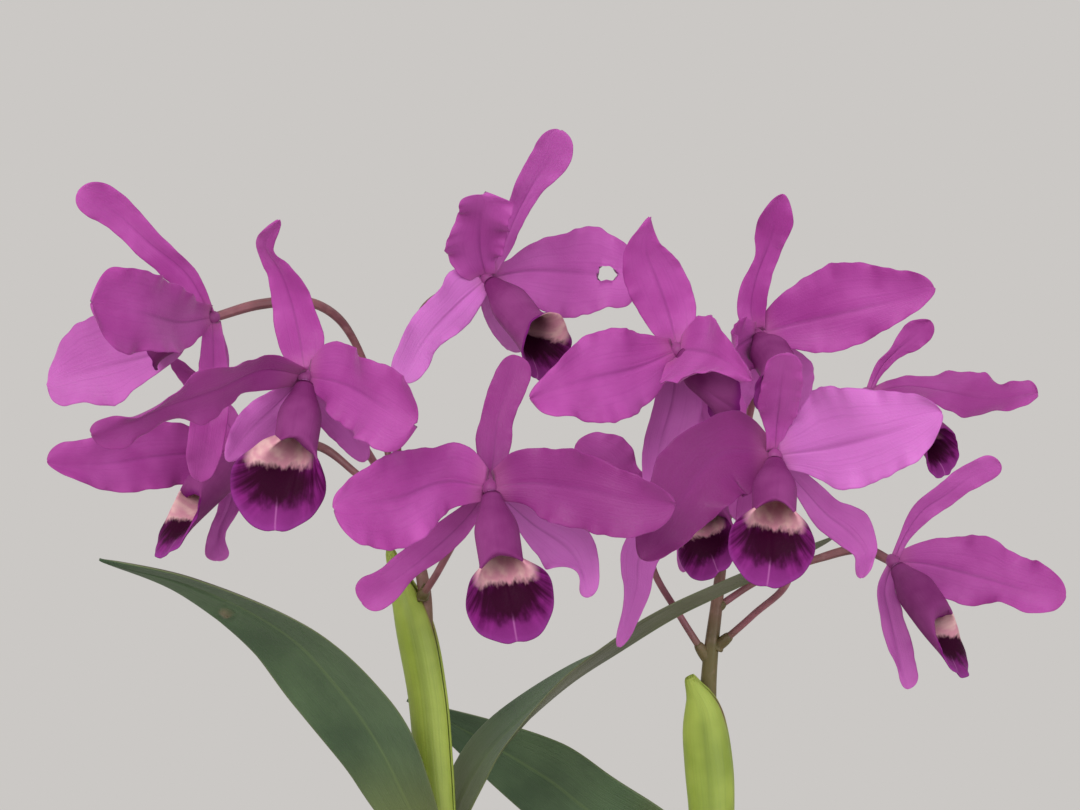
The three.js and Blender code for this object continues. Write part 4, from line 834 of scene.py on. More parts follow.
# %% Make the lip finish
def lip_finish():
    finish = Finish("lip", Roughness=0.7, Subsurface_Weight=0.06)
    finish.shader.inputs["Subsurface Radius"].default_value = (0.5, 0.2, 0.45)
    finish.shader.inputs["Subsurface Scale"].default_value = 0.001
    finish.shader.inputs["Specular IOR Level"].default_value = 0.06
    place = finish.place()
    across, down = finish.parts(finish.uv())
    outside = finish.mark("outside")
    rim = finish.mark("rim")
    spread = finish.node("CombineXYZ", {0: finish.maths("MULTIPLY", finish.mark("around"), 22.0),
                                        1: finish.maths("MULTIPLY", down, 1.2)})
    rays = finish.noise(spread.outputs[0], 1.0, 2)
    coarse = finish.noise(finish.scaled(finish.uv(), 3.5, 3), 1.0, 2)
    fine = finish.noise(finish.scaled(finish.uv(), 13, 5), 1.0, 2)
    ragged = finish.maths("MULTIPLY_ADD", coarse, 0.5, finish.maths("MULTIPLY", fine, 0.22))
    height = finish.maths("ADD", down, finish.maths("SUBTRACT", ragged, 0.36))
    sideways = finish.maths("ABSOLUTE", across)
    pale = finish.maths("MULTIPLY", finish.step(height, -0.3, -0.5), finish.step(sideways, 0.78, 0.5))
    wide = finish.maths("POWER", finish.maths("DIVIDE", sideways, 0.88), 2.0)
    from_band = finish.maths("DIVIDE", finish.maths("ADD", height, 0.1), 0.5)
    tall = finish.maths("POWER", finish.maths("ABSOLUTE", from_band), 2.0)
    streaked = finish.maths("MULTIPLY_ADD", rays, 1.3, -0.65)
    reach = finish.maths("ADD", finish.maths("ADD", wide, tall), streaked)
    dark = finish.step(reach, 1.7, 0.25)
    purple = finish.mix(finish.step(rays, 0.35, 0.65), srgb(98, 14, 88), srgb(126, 32, 116))
    purple = finish.mix(finish.step(down, 0.15, 1.0, 0, 0.6), purple, srgb(148, 58, 142))
    purple = finish.mix(finish.step(rim, 0.9, 1.0, 0, 0.5), purple, srgb(150, 60, 148))
    keel = finish.maths("MULTIPLY", finish.step(sideways, 0.035, 0.0), finish.step(down, 0.05, 0.4, 0, 0.5))
    purple = finish.mix(keel, purple, srgb(186, 110, 176))
    inner = finish.mix(dark, purple, srgb(48, 1, 33))
    throat = finish.mix(finish.step(coarse, 0.35, 0.65), srgb(202, 140, 158), srgb(220, 178, 178))
    inner = finish.mix(pale, inner, throat)
    outer_clouds = finish.step(finish.noise(place, 90, 3), 0.3, 0.7)
    outer = finish.mix(outer_clouds, srgb(120, 44, 106), srgb(140, 64, 126))
    outer = finish.mix(finish.step(rays, 0.55, 0.8, 0, 0.2), outer, srgb(112, 28, 102))
    outer = finish.mix(finish.step(rim, 0.75, 1.0), outer, srgb(118, 26, 112))
    finish.paint(finish.mix(outside, inner, outer))
    grain = finish.noise(place, 2600, 1)
    finish.gloss(finish.step(grain, 0.3, 0.75, 0.66, 0.5))
    finish.relief((rays, 0.08), (grain, 0.05))
    return finish.material


LIP = lip_finish()
print("made the lip finish")

# %% [markdown]
# ## The lips
# A lip is a tube rolled round the column that opens like a trumpet. The tube is a circle carried from the
# base to the mouth. From the mouth's ring to the rim's disc, each line is a Bezier curve that leaves along
# the tube, so the flare is smooth. The rim has a point at the top where the two edges of the roll meet, a
# notch at the bottom and ruffles all round.

# %% Work out a lip
LIP_START = 2.4
LIP_THICKNESS = 0.5
LIP_GRID = 52, 88
LIP_TUBE = dict(start=2.0, mouth=4.4)
TUBE_SHARE = 0.42
RIM_RUFFLE = 0.2


def lip_places(bloom):
    """The tube's base, mouth and the rim's middle, with the directions square to them."""
    lip = bloom["lip"]
    centre = bloom_centre(bloom)
    mouth, rim = seen([lip["mouth"], lip["rim"]])
    axis = unit(mouth - centre)
    outward = unit(np.array(lip["facing"], float))
    front = unit(outward - axis * (outward @ axis))
    down = unit(axis - outward * (axis @ outward))
    return dict(base=centre + axis * LIP_START, mouth=mouth, rim=rim, axis=axis, outward=outward,
                front=front, across=np.cross(axis, front), down=down, rim_across=np.cross(down, outward))


def make_lip(number, bloom):
    """Rows run from the tube's base to the rim, and columns round it, with the angle 0 at the bottom."""
    rows, columns = LIP_GRID
    at = lip_places(bloom)
    rim_radius = bloom["lip"]["rimRadius"]
    phase = chance(number, 50).uniform(0, 2 * np.pi, 4)
    u = (1 - (1 - np.linspace(0, 1, rows))**1.35)[:, None, None]
    angle = np.linspace(-np.pi, np.pi, columns, endpoint=False)[None, :, None]
    apart = np.pi - np.abs(angle)
    lap = 0.3 * smooth((angle - 2.2) / 0.9)
    s = np.clip(u / TUBE_SHARE, 0, 1)
    belly = 0.35 * np.sin(np.pi * s) * np.exp(-(apart / 1.6)**2)
    radius = LIP_TUBE["start"] + (LIP_TUBE["mouth"] - LIP_TUBE["start"]) * smooth(s / 0.6) + belly + lap * s
    tube_wall = (at["base"] + (at["mouth"] - at["base"]) * s
                 - at["front"] * radius * np.cos(angle) + at["across"] * radius * np.sin(angle))
    ring_radius = LIP_TUBE["mouth"] + lap
    ring = (at["mouth"] - at["front"] * ring_radius * np.cos(angle)
            + at["across"] * ring_radius * np.sin(angle))
    outline = (1 + 0.05 * np.exp(-apart / 0.3) - 0.05 * np.exp(-(angle / 0.13)**2)
               - 0.05 * np.exp(-((apart - 0.62) / 0.3)**2)
               + 0.02 * np.sin(4 * angle + phase[0]) + 0.008 * np.sin(9 * angle + phase[1]))
    spoke = at["down"] * np.cos(angle) + at["rim_across"] * np.sin(angle)
    edge = at["rim"] + rim_radius * outline * spoke
    q = np.clip((u - TUBE_SHARE) / (1 - TUBE_SHARE), 0, 1)
    control = ring + at["axis"] * 0.5 * np.linalg.norm(ring - edge, axis=-1, keepdims=True)
    flare = ring * (1 - q)**2 + control * 2 * q * (1 - q) + edge * q**2
    ruffle = q**4 * RIM_RUFFLE * (np.sin(7 * angle + phase[2]) + 0.6 * np.sin(13 * angle + phase[3]))
    crease = 0.35 * np.exp(-(angle / 0.07)**2) * np.sin(np.pi * q)
    flare = flare + at["outward"] * (ruffle + crease - 0.9 * q**6)
    middle = np.where(u < TUBE_SHARE, tube_wall, flare)
    closing = np.sqrt(np.clip(u / 0.02, 0, 1)) * np.sqrt(np.maximum(1 - u**30, 0))
    thickness = (LIP_THICKNESS * closing * np.ones_like(angle))[..., 0]
    surface, place, behind = sheet(middle, thickness, ring=True)
    from_rim = (middle - at["rim"]) / rim_radius
    uv = np.stack([from_rim @ at["rim_across"], from_rim @ at["down"]], -1).reshape(-1, 2)[place]
    grid = np.ones((rows, columns))
    around = (grid * np.cos(angle[..., 0] / 2)).ravel()[place]
    rim = (grid * q[..., 0]).ravel()[place]
    middle_out = np.einsum("ijk,k->ij", np.cross(np.gradient(middle, axis=0),
                           np.roll(middle, -1, 1) - np.roll(middle, 1, 1)), at["outward"])
    facing_out = middle_out[-8, columns // 2] > 0
    outside = behind if facing_out else 1 - behind
    shape = Shape()
    shape.add(surface, uv, around=around, rim=rim, outside=outside)
    return shape.piece(f"lip_trumpet_{number}", LIP, f"lip_{number}")


for number, bloom in enumerate(BLOOMS, 1):
    make_lip(number, bloom)

# %% [markdown]
# ## Sprays: the peduncle and its pedicels
# Each spray is an olive peduncle that splits into dusty pink pedicels, one to a bloom. A small scale sits
# at each joint, and near its bloom a pedicel thickens into a ribbed ovary. Tubes along the courses do all
# of this, with a relief round them for the ribs.

# %% Make the stems' finish
def stem_finish():
    finish = Finish("stem", Roughness=0.5, Subsurface_Weight=0.08)
    finish.shader.inputs["Subsurface Scale"].default_value = 0.001
    place = finish.place()
    tone = finish.mark("tone")
    streaks = finish.noise(place, 420, 3)
    clouds = finish.noise(place, 120, 3)
    green = finish.mix(finish.step(clouds, 0.3, 0.7), srgb(80, 74, 36), srgb(102, 92, 50))
    pink = finish.mix(finish.step(clouds, 0.3, 0.7), srgb(130, 72, 86), srgb(158, 98, 112))
    brown = finish.mix(finish.step(clouds, 0.3, 0.7), srgb(98, 56, 58), srgb(124, 76, 78))
    colour = finish.mix(finish.step(tone, 0.0, 1.0), green, pink)
    colour = finish.mix(finish.step(tone, 1.0, 2.0), colour, brown)
    colour = finish.mix(finish.step(streaks, 0.5, 0.75, 0, 0.15), colour, srgb(186, 146, 140))
    finish.paint(colour)
    finish.gloss(finish.step(clouds, 0.3, 0.7, 0.42, 0.58))
    finish.relief((streaks, 0.08), (finish.noise(place, 2200, 1), 0.04))
    return finish.material


STEM = stem_finish()
print("made the stem finish")

# %% The two sprays
SPRAYS = dict(
  left=dict(
    peduncle=dict(
      course=[[440, 850, -2], [434, 770, -3], [428, 690, -3], [426, 630, -3], [424, 590, -2], [414, 540, 0]],
      radii=[2.0, 2.0, 1.9, 1.8, 1.6, 1.3],
    ),
    pedicels=[
      dict(bloom=1, course=[[414, 542, 0], [392, 470, 14], [372, 385, 18], [345, 326, 14], [312, 303, 8],
        [262, 304, 2]]),
      dict(bloom=2, course=[[417, 548, -1], [395, 500, -10], [360, 440, -22], [330, 400, -30]]),
      dict(bloom=3, course=[[416, 552, 0], [388, 505, 12], [352, 470, 20], [318, 446, 22], [276, 447, 18]]),
      dict(bloom=4, course=[[414, 538, 2], [398, 450, 16], [402, 370, 22], [424, 310, 22], [458, 288, 16]]),
      dict(bloom=5, course=[[422, 596, -4], [436, 575, -12], [455, 540, -24], [474, 508, -34]]),
    ],
  ),
  right=dict(
    peduncle=dict(
      course=[[712, 862, 13], [711, 770, 14], [708, 700, 14], [711, 650, 14], [717, 600, 15],
        [724, 540, 18]],
      radii=[2.3, 2.3, 2.2, 1.9, 1.5, 1.2],
    ),
    pedicels=[
      dict(bloom=6, course=[[708, 660, 14], [680, 616, 12], [653, 568, 12], [648, 500, 0], [664, 420, -10]]),
      dict(bloom=7, course=[[718, 646, 14], [752, 616, 8], [788, 580, -8], [790, 512, -25]]),
      dict(bloom=8, course=[[722, 550, 17], [716, 510, 16]]),
      dict(bloom=9, course=[[723, 545, 18], [738, 470, 26], [752, 400, 24]]),
      dict(bloom=10, course=[[722, 556, 17], [770, 500, 40], [830, 430, 62]]),
      dict(bloom=11, course=[[716, 608, 15], [760, 580, 17], [820, 558, 20], [862, 549, 20]]),
    ],
  ),
)
FIRST_TONE = 0.35
SCALE_LENGTH = 4.2
PEDICEL_RADII = [0.95, 0.85, 0.85, 0.9, 0.95, 1.05, 1.15, 1.0]
PEDICEL_TONES = {1: 1.6, 2: 1.2, 3: 1.7, 4: 2.0, 5: 1.1, 6: 1.0, 7: 1.0, 8: 1.0, 9: 1.1, 10: 1.5, 11: 1.8}


def ribbed(count, depth, start, phase=0.0):
    """A relief round a tube: a cosine of the angle, which fades in after the start."""
    return lambda u, angle: 1 + depth * np.cos(count * angle + phase) * smooth((u - start) / 0.1)


def add_scale(shape, foot, heading, sideways, length, tone):
    """A small pointed scale: a cupped blade that hugs the stem."""
    tip = foot + heading * length + sideways * length * 0.42
    course = Course([foot, foot + heading * length * 0.5 + sideways * length * 0.12, tip])
    u, v = blade_grid(26, 15, 0.0)
    blade = dict(half=[1.9, 1.7, 1.1, 0.4], cup=1.15, tip=3, roll=[0, 0])
    chord = unit(tip - foot)
    across = unit(np.cross(sideways, chord))
    out = np.cross(chord, across)
    width = np.maximum(along(blade["half"], u) * np.sqrt(np.maximum(1 - u**3, 0)), 0.08)
    cup = blade["cup"]
    middle = (course.at(u) + across * (np.sin(cup * v) / cup * width)[..., None]
              - out * ((1 - np.cos(cup * v)) / cup * width)[..., None] * np.sign(out @ sideways))
    surface, place, _ = sheet(middle, 0.4 * rim_profile(u, v))
    shape.add(surface, tone=tone)


def make_spray(name, spray):
    """One tube for the peduncle, and for each pedicel a tube, a swollen joint and a scale below it."""
    shape = Shape()
    stalk = Course(seen(spray["peduncle"]["course"]))
    swell = lambda u, angle: 1 + 0.03 * np.cos(5 * angle) + 0.02 * np.sin(3 * angle + 9 * u)
    peduncle, way = tube(stalk, spray["peduncle"]["radii"], 150, 28, relief=swell)
    shape.add(peduncle, tone=0.55 * smooth((way - 0.55) / 0.3) - 0.1)
    for pedicel in spray["pedicels"]:
        number = pedicel["bloom"]
        centre = bloom_centre(BLOOMS[number - 1])
        course = Course(np.concatenate([seen(pedicel["course"]), centre[None]]))
        stem, way = tube(course, PEDICEL_RADII, 96, 20, relief=ribbed(6, 0.1, 0.55))
        end = PEDICEL_TONES[number]
        shape.add(stem, tone=FIRST_TONE + (end - FIRST_TONE) * smooth(way / 0.18)
                  - 0.3 * smooth((way - 0.85) / 0.15))
        joint, _ = tube([course.at(0.0) - course.heading(0.0) * 1.6, course.at(0.0), course.at(0.06)],
                        [1.2, 1.45, 1.1], 20, 20, blunt=1.2)
        shape.add(joint, tone=0.15)
        leaving, upwards = course.heading(0.1), stalk.heading(0.9)
        outward = unit(leaving - upwards * (leaving @ upwards))
        foot = course.at(0.0) + outward * 0.9 - upwards * 1.5
        add_scale(shape, foot, upwards, outward, SCALE_LENGTH, 0.1)
    return shape.piece(f"stems_{name}", STEM, f"spray_{name}")


for name, spray in SPRAYS.items():
    make_spray(name, spray)

# %% [markdown]
# ## The sheaths
# Each spray grows out of a flattened green sheath, a blade folded along its back whose two edges meet in
# front. The fold is a tube's wall that stays a sheet: its edges touch low down and part near the oblique
# tip, where the peduncle comes out. Both sides get the wall's thickness, so one can look inside.

# %% Make the sheaths' finish
def sheath_finish():
    finish = Finish("sheath", Roughness=0.45, Subsurface_Weight=0.15)
    finish.shader.inputs["Subsurface Radius"].default_value = (0.5, 0.8, 0.2)
    finish.shader.inputs["Subsurface Scale"].default_value = 0.002
    place, (u, v) = finish.place(), finish.parts(finish.uv())
    clouds = finish.noise(place, 60, 3)
    colour = finish.mix(finish.step(clouds, 0.3, 0.7), srgb(136, 156, 54), srgb(166, 184, 78))
    lines = finish.noise(finish.scaled(finish.uv(), 2.0, 46), 1.0, 2)
    colour = finish.mix(finish.step(lines, 0.45, 0.75, 0, 0.22), colour, srgb(104, 128, 48))
    shade = finish.mark("shade")
    colour = finish.mix(shade, colour, srgb(86, 104, 42))
    colour = finish.mix(finish.mark("stain"), colour, srgb(112, 82, 48))
    finish.paint(colour)
    finish.gloss(finish.step(clouds, 0.3, 0.7, 0.38, 0.52))
    finish.relief((lines, 0.12), (finish.noise(place, 1800, 1), 0.04))
    return finish.material


SHEATH = sheath_finish()
print("made the sheath finish")

# %% The two sheaths
SHEATHS = dict(
  left=dict(
    course=[[441, 845, -2], [434, 765, -3], [427, 690, -3], [412, 615, -3], [390, 549, -2]],
    radii=[3.6, 4.2, 4.3, 4.1, 1.2],
  ),
  right=dict(
    course=[[713, 858, 13], [711, 790, 14], [706, 735, 13], [701, 700, 11], [690, 676, 10]],
    radii=[4.6, 5.2, 5.5, 4.7, 1.5],
  ),
)
SHEATH_FLAT = 0.72
SHEATH_WALL = 0.7
SHEATH_GRID = 84, 64
SHADE_DEPTH = 0.3
SLITS = dict(left=dict(middle=0.25, opens=0.76, gape=0.55), right=dict(middle=0.1, opens=0.78, gape=0.6))


def make_sheath(name, sheath):
    """At u, an oval whose angle runs once round from one edge to the other. The keel on each side is a
    power of the cosine, and the gap between the edges opens above the slit's foot."""
    rows, columns = SHEATH_GRID
    slit = SLITS[name]
    course = Course(seen(sheath["course"]))
    u = np.linspace(0, 1, rows)[:, None] * np.ones((1, columns))
    s = np.linspace(-1, 1, columns)[None, :] * np.ones((rows, 1))
    s = np.sin(np.pi / 2 * s) * 0.3 + s * 0.7
    gap = 0.06 + slit["gape"] * smooth((u - slit["opens"]) / 0.2)
    angle = slit["middle"] + np.pi + (np.pi - gap) * s
    heading = course.heading(u)
    side = unit(np.cross([0, 1.0, 0], heading))
    face = np.cross(side, heading)
    keel = 1 + 0.1 * np.abs(np.cos(angle))**8
    radius = (along(sheath["radii"], u) - SHEATH_WALL / 2) * keel
    lines = 0.05 * np.cos(30 * angle) * smooth(u / 0.1)
    middle = (course.at(u) + side * ((radius + lines) * np.cos(angle))[..., None]
              + face * ((radius + lines) * SHEATH_FLAT * np.sin(angle))[..., None])
    profile = (np.sqrt(np.maximum(1 - np.abs(s)**14, 0)) * np.sqrt(np.maximum(1 - u**60, 0))
               * np.sqrt(np.clip(u / 0.01, 0, 1)))
    surface, place, _ = sheet(middle, SHEATH_WALL * profile)
    uv = np.stack([u.ravel(), 0.5 + 0.5 * s.ravel()], -1)[place]
    shade = np.exp(-((np.cos(angle) + 0.1) / 0.22)**2) * (np.sin(angle) > 0) * smooth((1 - u) / 0.3)
    stain = np.exp(-(((np.abs(s) - 1) / 0.06)**2)) * np.exp(-((u - slit["opens"]) / 0.08)**2)
    shape = Shape()
    shape.add(surface, uv, shade=SHADE_DEPTH * shade.ravel()[place], stain=stain.ravel()[place])
    return shape.piece(f"folded_sheath_{name}", SHEATH, f"sheath_{name}")


for name, sheath in SHEATHS.items():
    make_sheath(name, sheath)

# %% [markdown]
# ## Leaves
# The leaves are leathery straps in a shallow V, dark green and a little glossy above, duller and paler
# below, with fine lines along them. The thickness is full at the midrib and fades to the edges. One leaf
# has an old scar near its tip.

# %% Make the leaves' finish
def leaf_finish():
    finish = Finish("leaf", Roughness=0.42, Subsurface_Weight=0.05)
    finish.shader.inputs["Subsurface Radius"].default_value = (0.3, 0.6, 0.15)
    finish.shader.inputs["Subsurface Scale"].default_value = 0.002
    place, (u, v) = finish.place(), finish.parts(finish.uv())
    across = finish.maths("ABSOLUTE", finish.maths("MULTIPLY_ADD", v, 2.0, -1.0))
    clouds = finish.noise(place, 38, 4)
    upper = finish.mix(finish.step(clouds, 0.3, 0.7), srgb(50, 74, 46), srgb(80, 104, 70))
    lower = finish.mix(finish.step(clouds, 0.3, 0.7), srgb(68, 74, 52), srgb(98, 102, 78))
    lines = finish.noise(finish.scaled(finish.uv(), 3.0, 60), 1.0, 2)
    upper = finish.mix(finish.step(lines, 0.45, 0.75, 0, 0.25), upper, srgb(44, 66, 42))
    lower = finish.mix(finish.step(lines, 0.45, 0.72, 0, 0.55), lower, srgb(128, 124, 108))
    colour = finish.mix(finish.mark("upper"), lower, upper)
    colour = finish.mix(finish.step(across, 0.07, 0.0, 0, 0.5), colour, srgb(96, 118, 70))
    colour = finish.mix(finish.step(u, 0.3, 0.0, 0, 0.75), colour, srgb(104, 112, 58))
    colour = finish.mix(finish.step(across, 0.95, 1.0, 0, 0.5), colour, srgb(106, 116, 72))
    colour = finish.mix(finish.mark("stain"), colour, srgb(112, 98, 74))
    finish.paint(colour)
    finish.gloss(finish.step(clouds, 0.3, 0.7, 0.34, 0.5))
    finish.relief((lines, 0.2), (finish.noise(place, 1500, 2), 0.05))
    return finish.material


LEAF = leaf_finish()
print("made the leaf finish")

# %% The twelve leaves
LEAVES = dict(
  left_a=dict(
    seen=[[435, 849, -6], [411, 808, -8], [381, 748, -12], [344, 694, -18], [287, 634, -26], [193, 585, -34],
      [99, 560, -40]],
    half=[5, 12, 15.5, 15.5, 12.5, 8], roll=[30, 42, 46, 48, 50, 50],
  ),
  left_b=dict(
    seen=[[446, 847, 3], [463, 798, 4], [486, 758, 5], [513, 728, 5], [568, 680, 5], [620, 646, 4],
      [672, 614, 3], [717, 592, 3], [765, 570, 4], [833, 538, 6]],
    half=[5, 10.5, 11, 11, 9.5, 6], roll=[58, 72, 89, 106, 110, 112],
  ),
  right_a=dict(
    seen=[[706, 862, 16], [660, 845, 20], [600, 818, 28], [550, 780, 36], [480, 738, 42], [407, 700, 46]],
    half=[5, 11, 14, 14, 12, 7.5], roll=[10, 12, 15, 18, 22, 26],
  ),
  right_b=dict(
    seen=[[720, 862, 12], [770, 850, 8], [840, 858, 0], [910, 890, -8], [980, 950, -14]],
    half=[5, 10, 12, 11, 7], roll=[-30, -50, -60, -60, -60],
  ),
  back_1a=dict(
    at=[[63.5, -18, 231], [84, -19, 256], [112, -15, 286], [130, -9, 316], [137, -3, 349]],
    half=[5, 10, 12, 11, 7], roll=[10, 10, 5, 0],
  ),
  back_1b=dict(
    at=[[58, -21, 231], [52, -48, 258], [44, -84, 272], [38, -120, 262]],
    half=[5, 10.5, 12, 11, 7], roll=[75, 80, 85],
  ),
  back_2a=dict(
    at=[[-58.5, 20, 221], [-84, 22, 250], [-118, 24, 266], [-152, 26, 262]],
    half=[5, 10, 12, 11, 7], roll=[60, 68, 72],
  ),
  back_2b=dict(
    at=[[-54, 23, 221], [-49, 48, 250], [-42, 82, 266], [-35, 116, 260]],
    half=[5, 10, 12, 11, 7], roll=[75, 80, 85],
  ),
  back_3a=dict(
    at=[[-0.5, 44, 235], [-16, 68, 264], [-34, 94, 276], [-54, 120, 268]],
    half=[5, 10, 12, 11, 7], roll=[60, 68, 72],
  ),
  back_3b=dict(
    at=[[4.5, 43, 235], [27, 58, 266], [52, 76, 280], [80, 94, 272]],
    half=[5, 10, 12, 11, 7], roll=[-60, -68, -72],
  ),
  back_4a=dict(
    at=[[-5, -40, 195], [-24, -60, 224], [-50, -82, 238], [-80, -102, 230]],
    half=[5, 9, 11, 10, 6.5], roll=[60, 68, 72],
  ),
  back_4b=dict(
    at=[[4, -41, 195], [13, -68, 220], [24, -98, 228], [38, -128, 216]],
    half=[5, 9, 11, 10, 6.5], roll=[-60, -70, -75],
  ),
)
LEAF_TIP = dict(tip=2.2, round=1.4, cup=0.35)
LEAF_THICKNESS = 1.5
LEAF_GRID = 92, 21
SCAR = dict(leaf="left_a", at=(226, 612), radius=1.5)


def make_leaf(order, name, leaf):
    """A strap's middle surface is the same arc as a petal's, with a groove along its midrib."""
    points = seen(leaf["seen"]) if "seen" in leaf else np.array(leaf["at"], float)
    course = Course(points)
    u, v = blade_grid(*LEAF_GRID, 0.0)
    side, face = blade_frame(course, u, leaf["roll"])
    width = blade_outline(u, v, leaf["half"], LEAF_TIP["tip"], LEAF_TIP["round"])
    phase = chance(order, 90).uniform(0, 2 * np.pi, 6)
    left = v > 0
    width = width * (1 + 0.008 * np.sin(14 * u + np.where(left, phase[0], phase[1])))
    cup = LEAF_TIP["cup"]
    lift = 0.5 * np.abs(v)**2 * np.sin(9 * u + np.where(left, phase[2], phase[3])) * smooth(u / 0.3)
    lift = lift - 0.55 * np.exp(-(v / 0.06)**2) * smooth(u / 0.08) * smooth((1 - u) / 0.15)
    middle = (course.at(u) + side * (np.sin(cup * v) / cup * width)[..., None]
              + face * ((1 - np.cos(cup * v)) / cup * width + lift)[..., None])
    thick = LEAF_THICKNESS * rim_profile(u, v) * (0.62 + 0.38 * np.exp(-(v / 0.25)**2))
    stain = np.zeros(u.shape)
    if name == SCAR["leaf"]:
        x, y = sighted(middle)
        away = np.hypot(x - SCAR["at"][0], (y - SCAR["at"][1])) * RANGE / FOCAL
        stain = smooth((SCAR["radius"] - away) / 1.2)
        pucker = np.exp(-(away / 1.1)**2) - 0.6 * np.exp(-((away - 1.8) / 0.7)**2)
        middle = middle + face * (0.7 * pucker)[..., None]
    surface, place, behind = sheet(middle, thick)
    uv = np.stack([u.ravel(), 0.5 + 0.5 * v.ravel()], -1)[place]
    shape = Shape()
    shape.add(surface, uv, upper=behind, stain=stain.ravel()[place])
    return shape.piece(f"strap_{name}", LEAF, f"leaf_{name}")


for order, (name, leaf) in enumerate(LEAVES.items()):
    make_leaf(order, name, leaf)

# %% [markdown]
# ## Pseudobulbs
# A pseudobulb is a swollen, club-shaped stem with shallow furrows, narrow above its foot. Dry, papery
# sheaths wrap its joints. The bulb is one tube with a relief of furrows and ring-like joints, and each
# sheath is a thin, torn sleeve just outside it.

# %% Make the pseudobulbs' finish
def bulb_finish():
    finish = Finish("pseudobulb", Roughness=0.5, Subsurface_Weight=0.05)
    finish.shader.inputs["Subsurface Scale"].default_value = 0.001
    place = finish.place()
    clouds = finish.noise(place, 55, 4)
    streaks = finish.noise(finish.scaled(place, 420, 420, 40), 1.0, 3)
    green = finish.mix(finish.step(clouds, 0.3, 0.7), srgb(96, 112, 52), srgb(138, 146, 78))
    green = finish.mix(finish.step(streaks, 0.5, 0.75, 0, 0.4), green, srgb(84, 84, 48))
    paper = finish.mix(finish.step(streaks, 0.35, 0.7), srgb(170, 150, 118), srgb(208, 194, 164))
    paper = finish.mix(finish.step(clouds, 0.5, 0.7, 0, 0.5), paper, srgb(128, 104, 78))
    finish.paint(finish.mix(finish.mark("dry"), green, paper))
    finish.gloss(finish.step(finish.mark("dry"), 0.0, 1.0, 0.45, 0.8))
    finish.relief((streaks, 0.35), (finish.noise(place, 1300, 2), 0.06))
    return finish.material


BULB = bulb_finish()
print("made the pseudobulb finish")

# %% The six pseudobulbs
BULBS = dict(
  left=dict(foot=[-17, 3, 98], top=[-23.6, -2, 313], girth=1),
  right=dict(foot=[31, 12, 98], top=[42, 13, 310], girth=1),
  back_1=dict(foot=[51, -14, 98], top=[61, -18, 230], girth=0.95),
  back_2=dict(foot=[-45, 16, 98], top=[-56, 20, 220], girth=0.92),
  back_3=dict(foot=[4, 32, 98], top=[2, 42, 234], girth=0.95),
  back_4=dict(foot=[2, -30, 98], top=[-1, -40, 194], girth=0.85),
)
BULB_RADII = [5, 10, 9.4, 6.6, 6.2, 6.6, 7.2, 7.4, 7.2, 6.8, 6.2, 5]
JOINTS = [0.2, 0.42, 0.63, 0.82]
SLEEVES = [(0.1, 0.3), (0.24, 0.5), (0.45, 0.66)]


def bulb_relief(phase):
    """Furrows run along the bulb as a cosine of the angle, and each joint is a small raised ring."""
    def relief(u, angle):
        furrows = 0.035 * np.cos(9 * angle + phase + 1.5 * u) + 0.02 * np.cos(4 * angle - phase)
        rings = sum(np.exp(-((u - joint) / 0.006)**2) - 0.6 * np.exp(-((u - joint - 0.014) / 0.008)**2)
                    for joint in JOINTS)
        return 1 + furrows * smooth(u / 0.1) * smooth((1 - u) / 0.08) + 0.045 * rings
    return relief


def add_sleeve(shape, course, radii, low, high, lot):
    """A dry sheath from low to high: a thin ring outside the bulb, whose top edge is torn by waves."""
    rows, sides = 20, 54
    angle = np.linspace(0, 2 * np.pi, sides, endpoint=False)[None, :]
    phase = lot.uniform(0, 2 * np.pi, 4)
    t = np.linspace(0, 1, rows)[:, None]
    torn = (0.22 * np.sin(angle + phase[0]) + 0.12 * np.sin(3 * angle + phase[1])
            + 0.07 * np.sin(8 * angle + phase[2]) + 0.05 * np.sin(17 * angle + phase[3]))
    u = low + (high - low) * t * (1 + torn * t)
    u = np.clip(u, 0.0, 0.995)
    heading = course.heading(u)
    side = unit(np.cross([0, 1.0, 0], heading))
    face = np.cross(side, heading)
    radius = along(radii, u) * 1.035 + 0.35 + 0.9 * t**3 * (1 + 0.6 * np.sin(5 * angle + phase[1]))
    radius = radius + 0.12 * np.sin(11 * angle + phase[2])
    spoke = side * np.cos(angle)[..., None] + face * np.sin(angle)[..., None]
    middle = course.at(u) + spoke * radius[..., None]
    profile = np.sqrt(np.clip(t / 0.05, 0, 1)) * np.sqrt(np.maximum(1 - t**16, 0)) * np.ones_like(angle)
    surface, _, _ = sheet(middle, 0.35 * profile, ring=True)
    shape.add(surface, dry=1.0)


def make_bulb(order, name, bulb):
    """A tube from foot to top with the bulb's relief, and three sleeves that reach over each other."""
    shape = Shape()
    course = Course([bulb["foot"], bulb["top"]])
    radii = np.array(BULB_RADII) * bulb["girth"]
    lot = chance(order, 30)
    body, way = tube(course, radii, 130, 40, relief=bulb_relief(lot.uniform(0, 6)), blunt=0.6)
    shape.add(body, dry=0.0)
    for low, high in SLEEVES:
        add_sleeve(shape, course, radii, low, high + lot.uniform(-0.03, 0.05), lot)
    return shape.piece(f"club_{name}", BULB, f"pseudobulb_{name}")


for order, (name, bulb) in enumerate(BULBS.items()):
    make_bulb(order, name, bulb)

# %% [markdown]
# ## Rhizome and roots
# The rhizome creeps over the bark as a ringed, woody stem and joins the bulbs at their feet. Its roots are
# thick, whitish cords that run over the bark and dive into it.

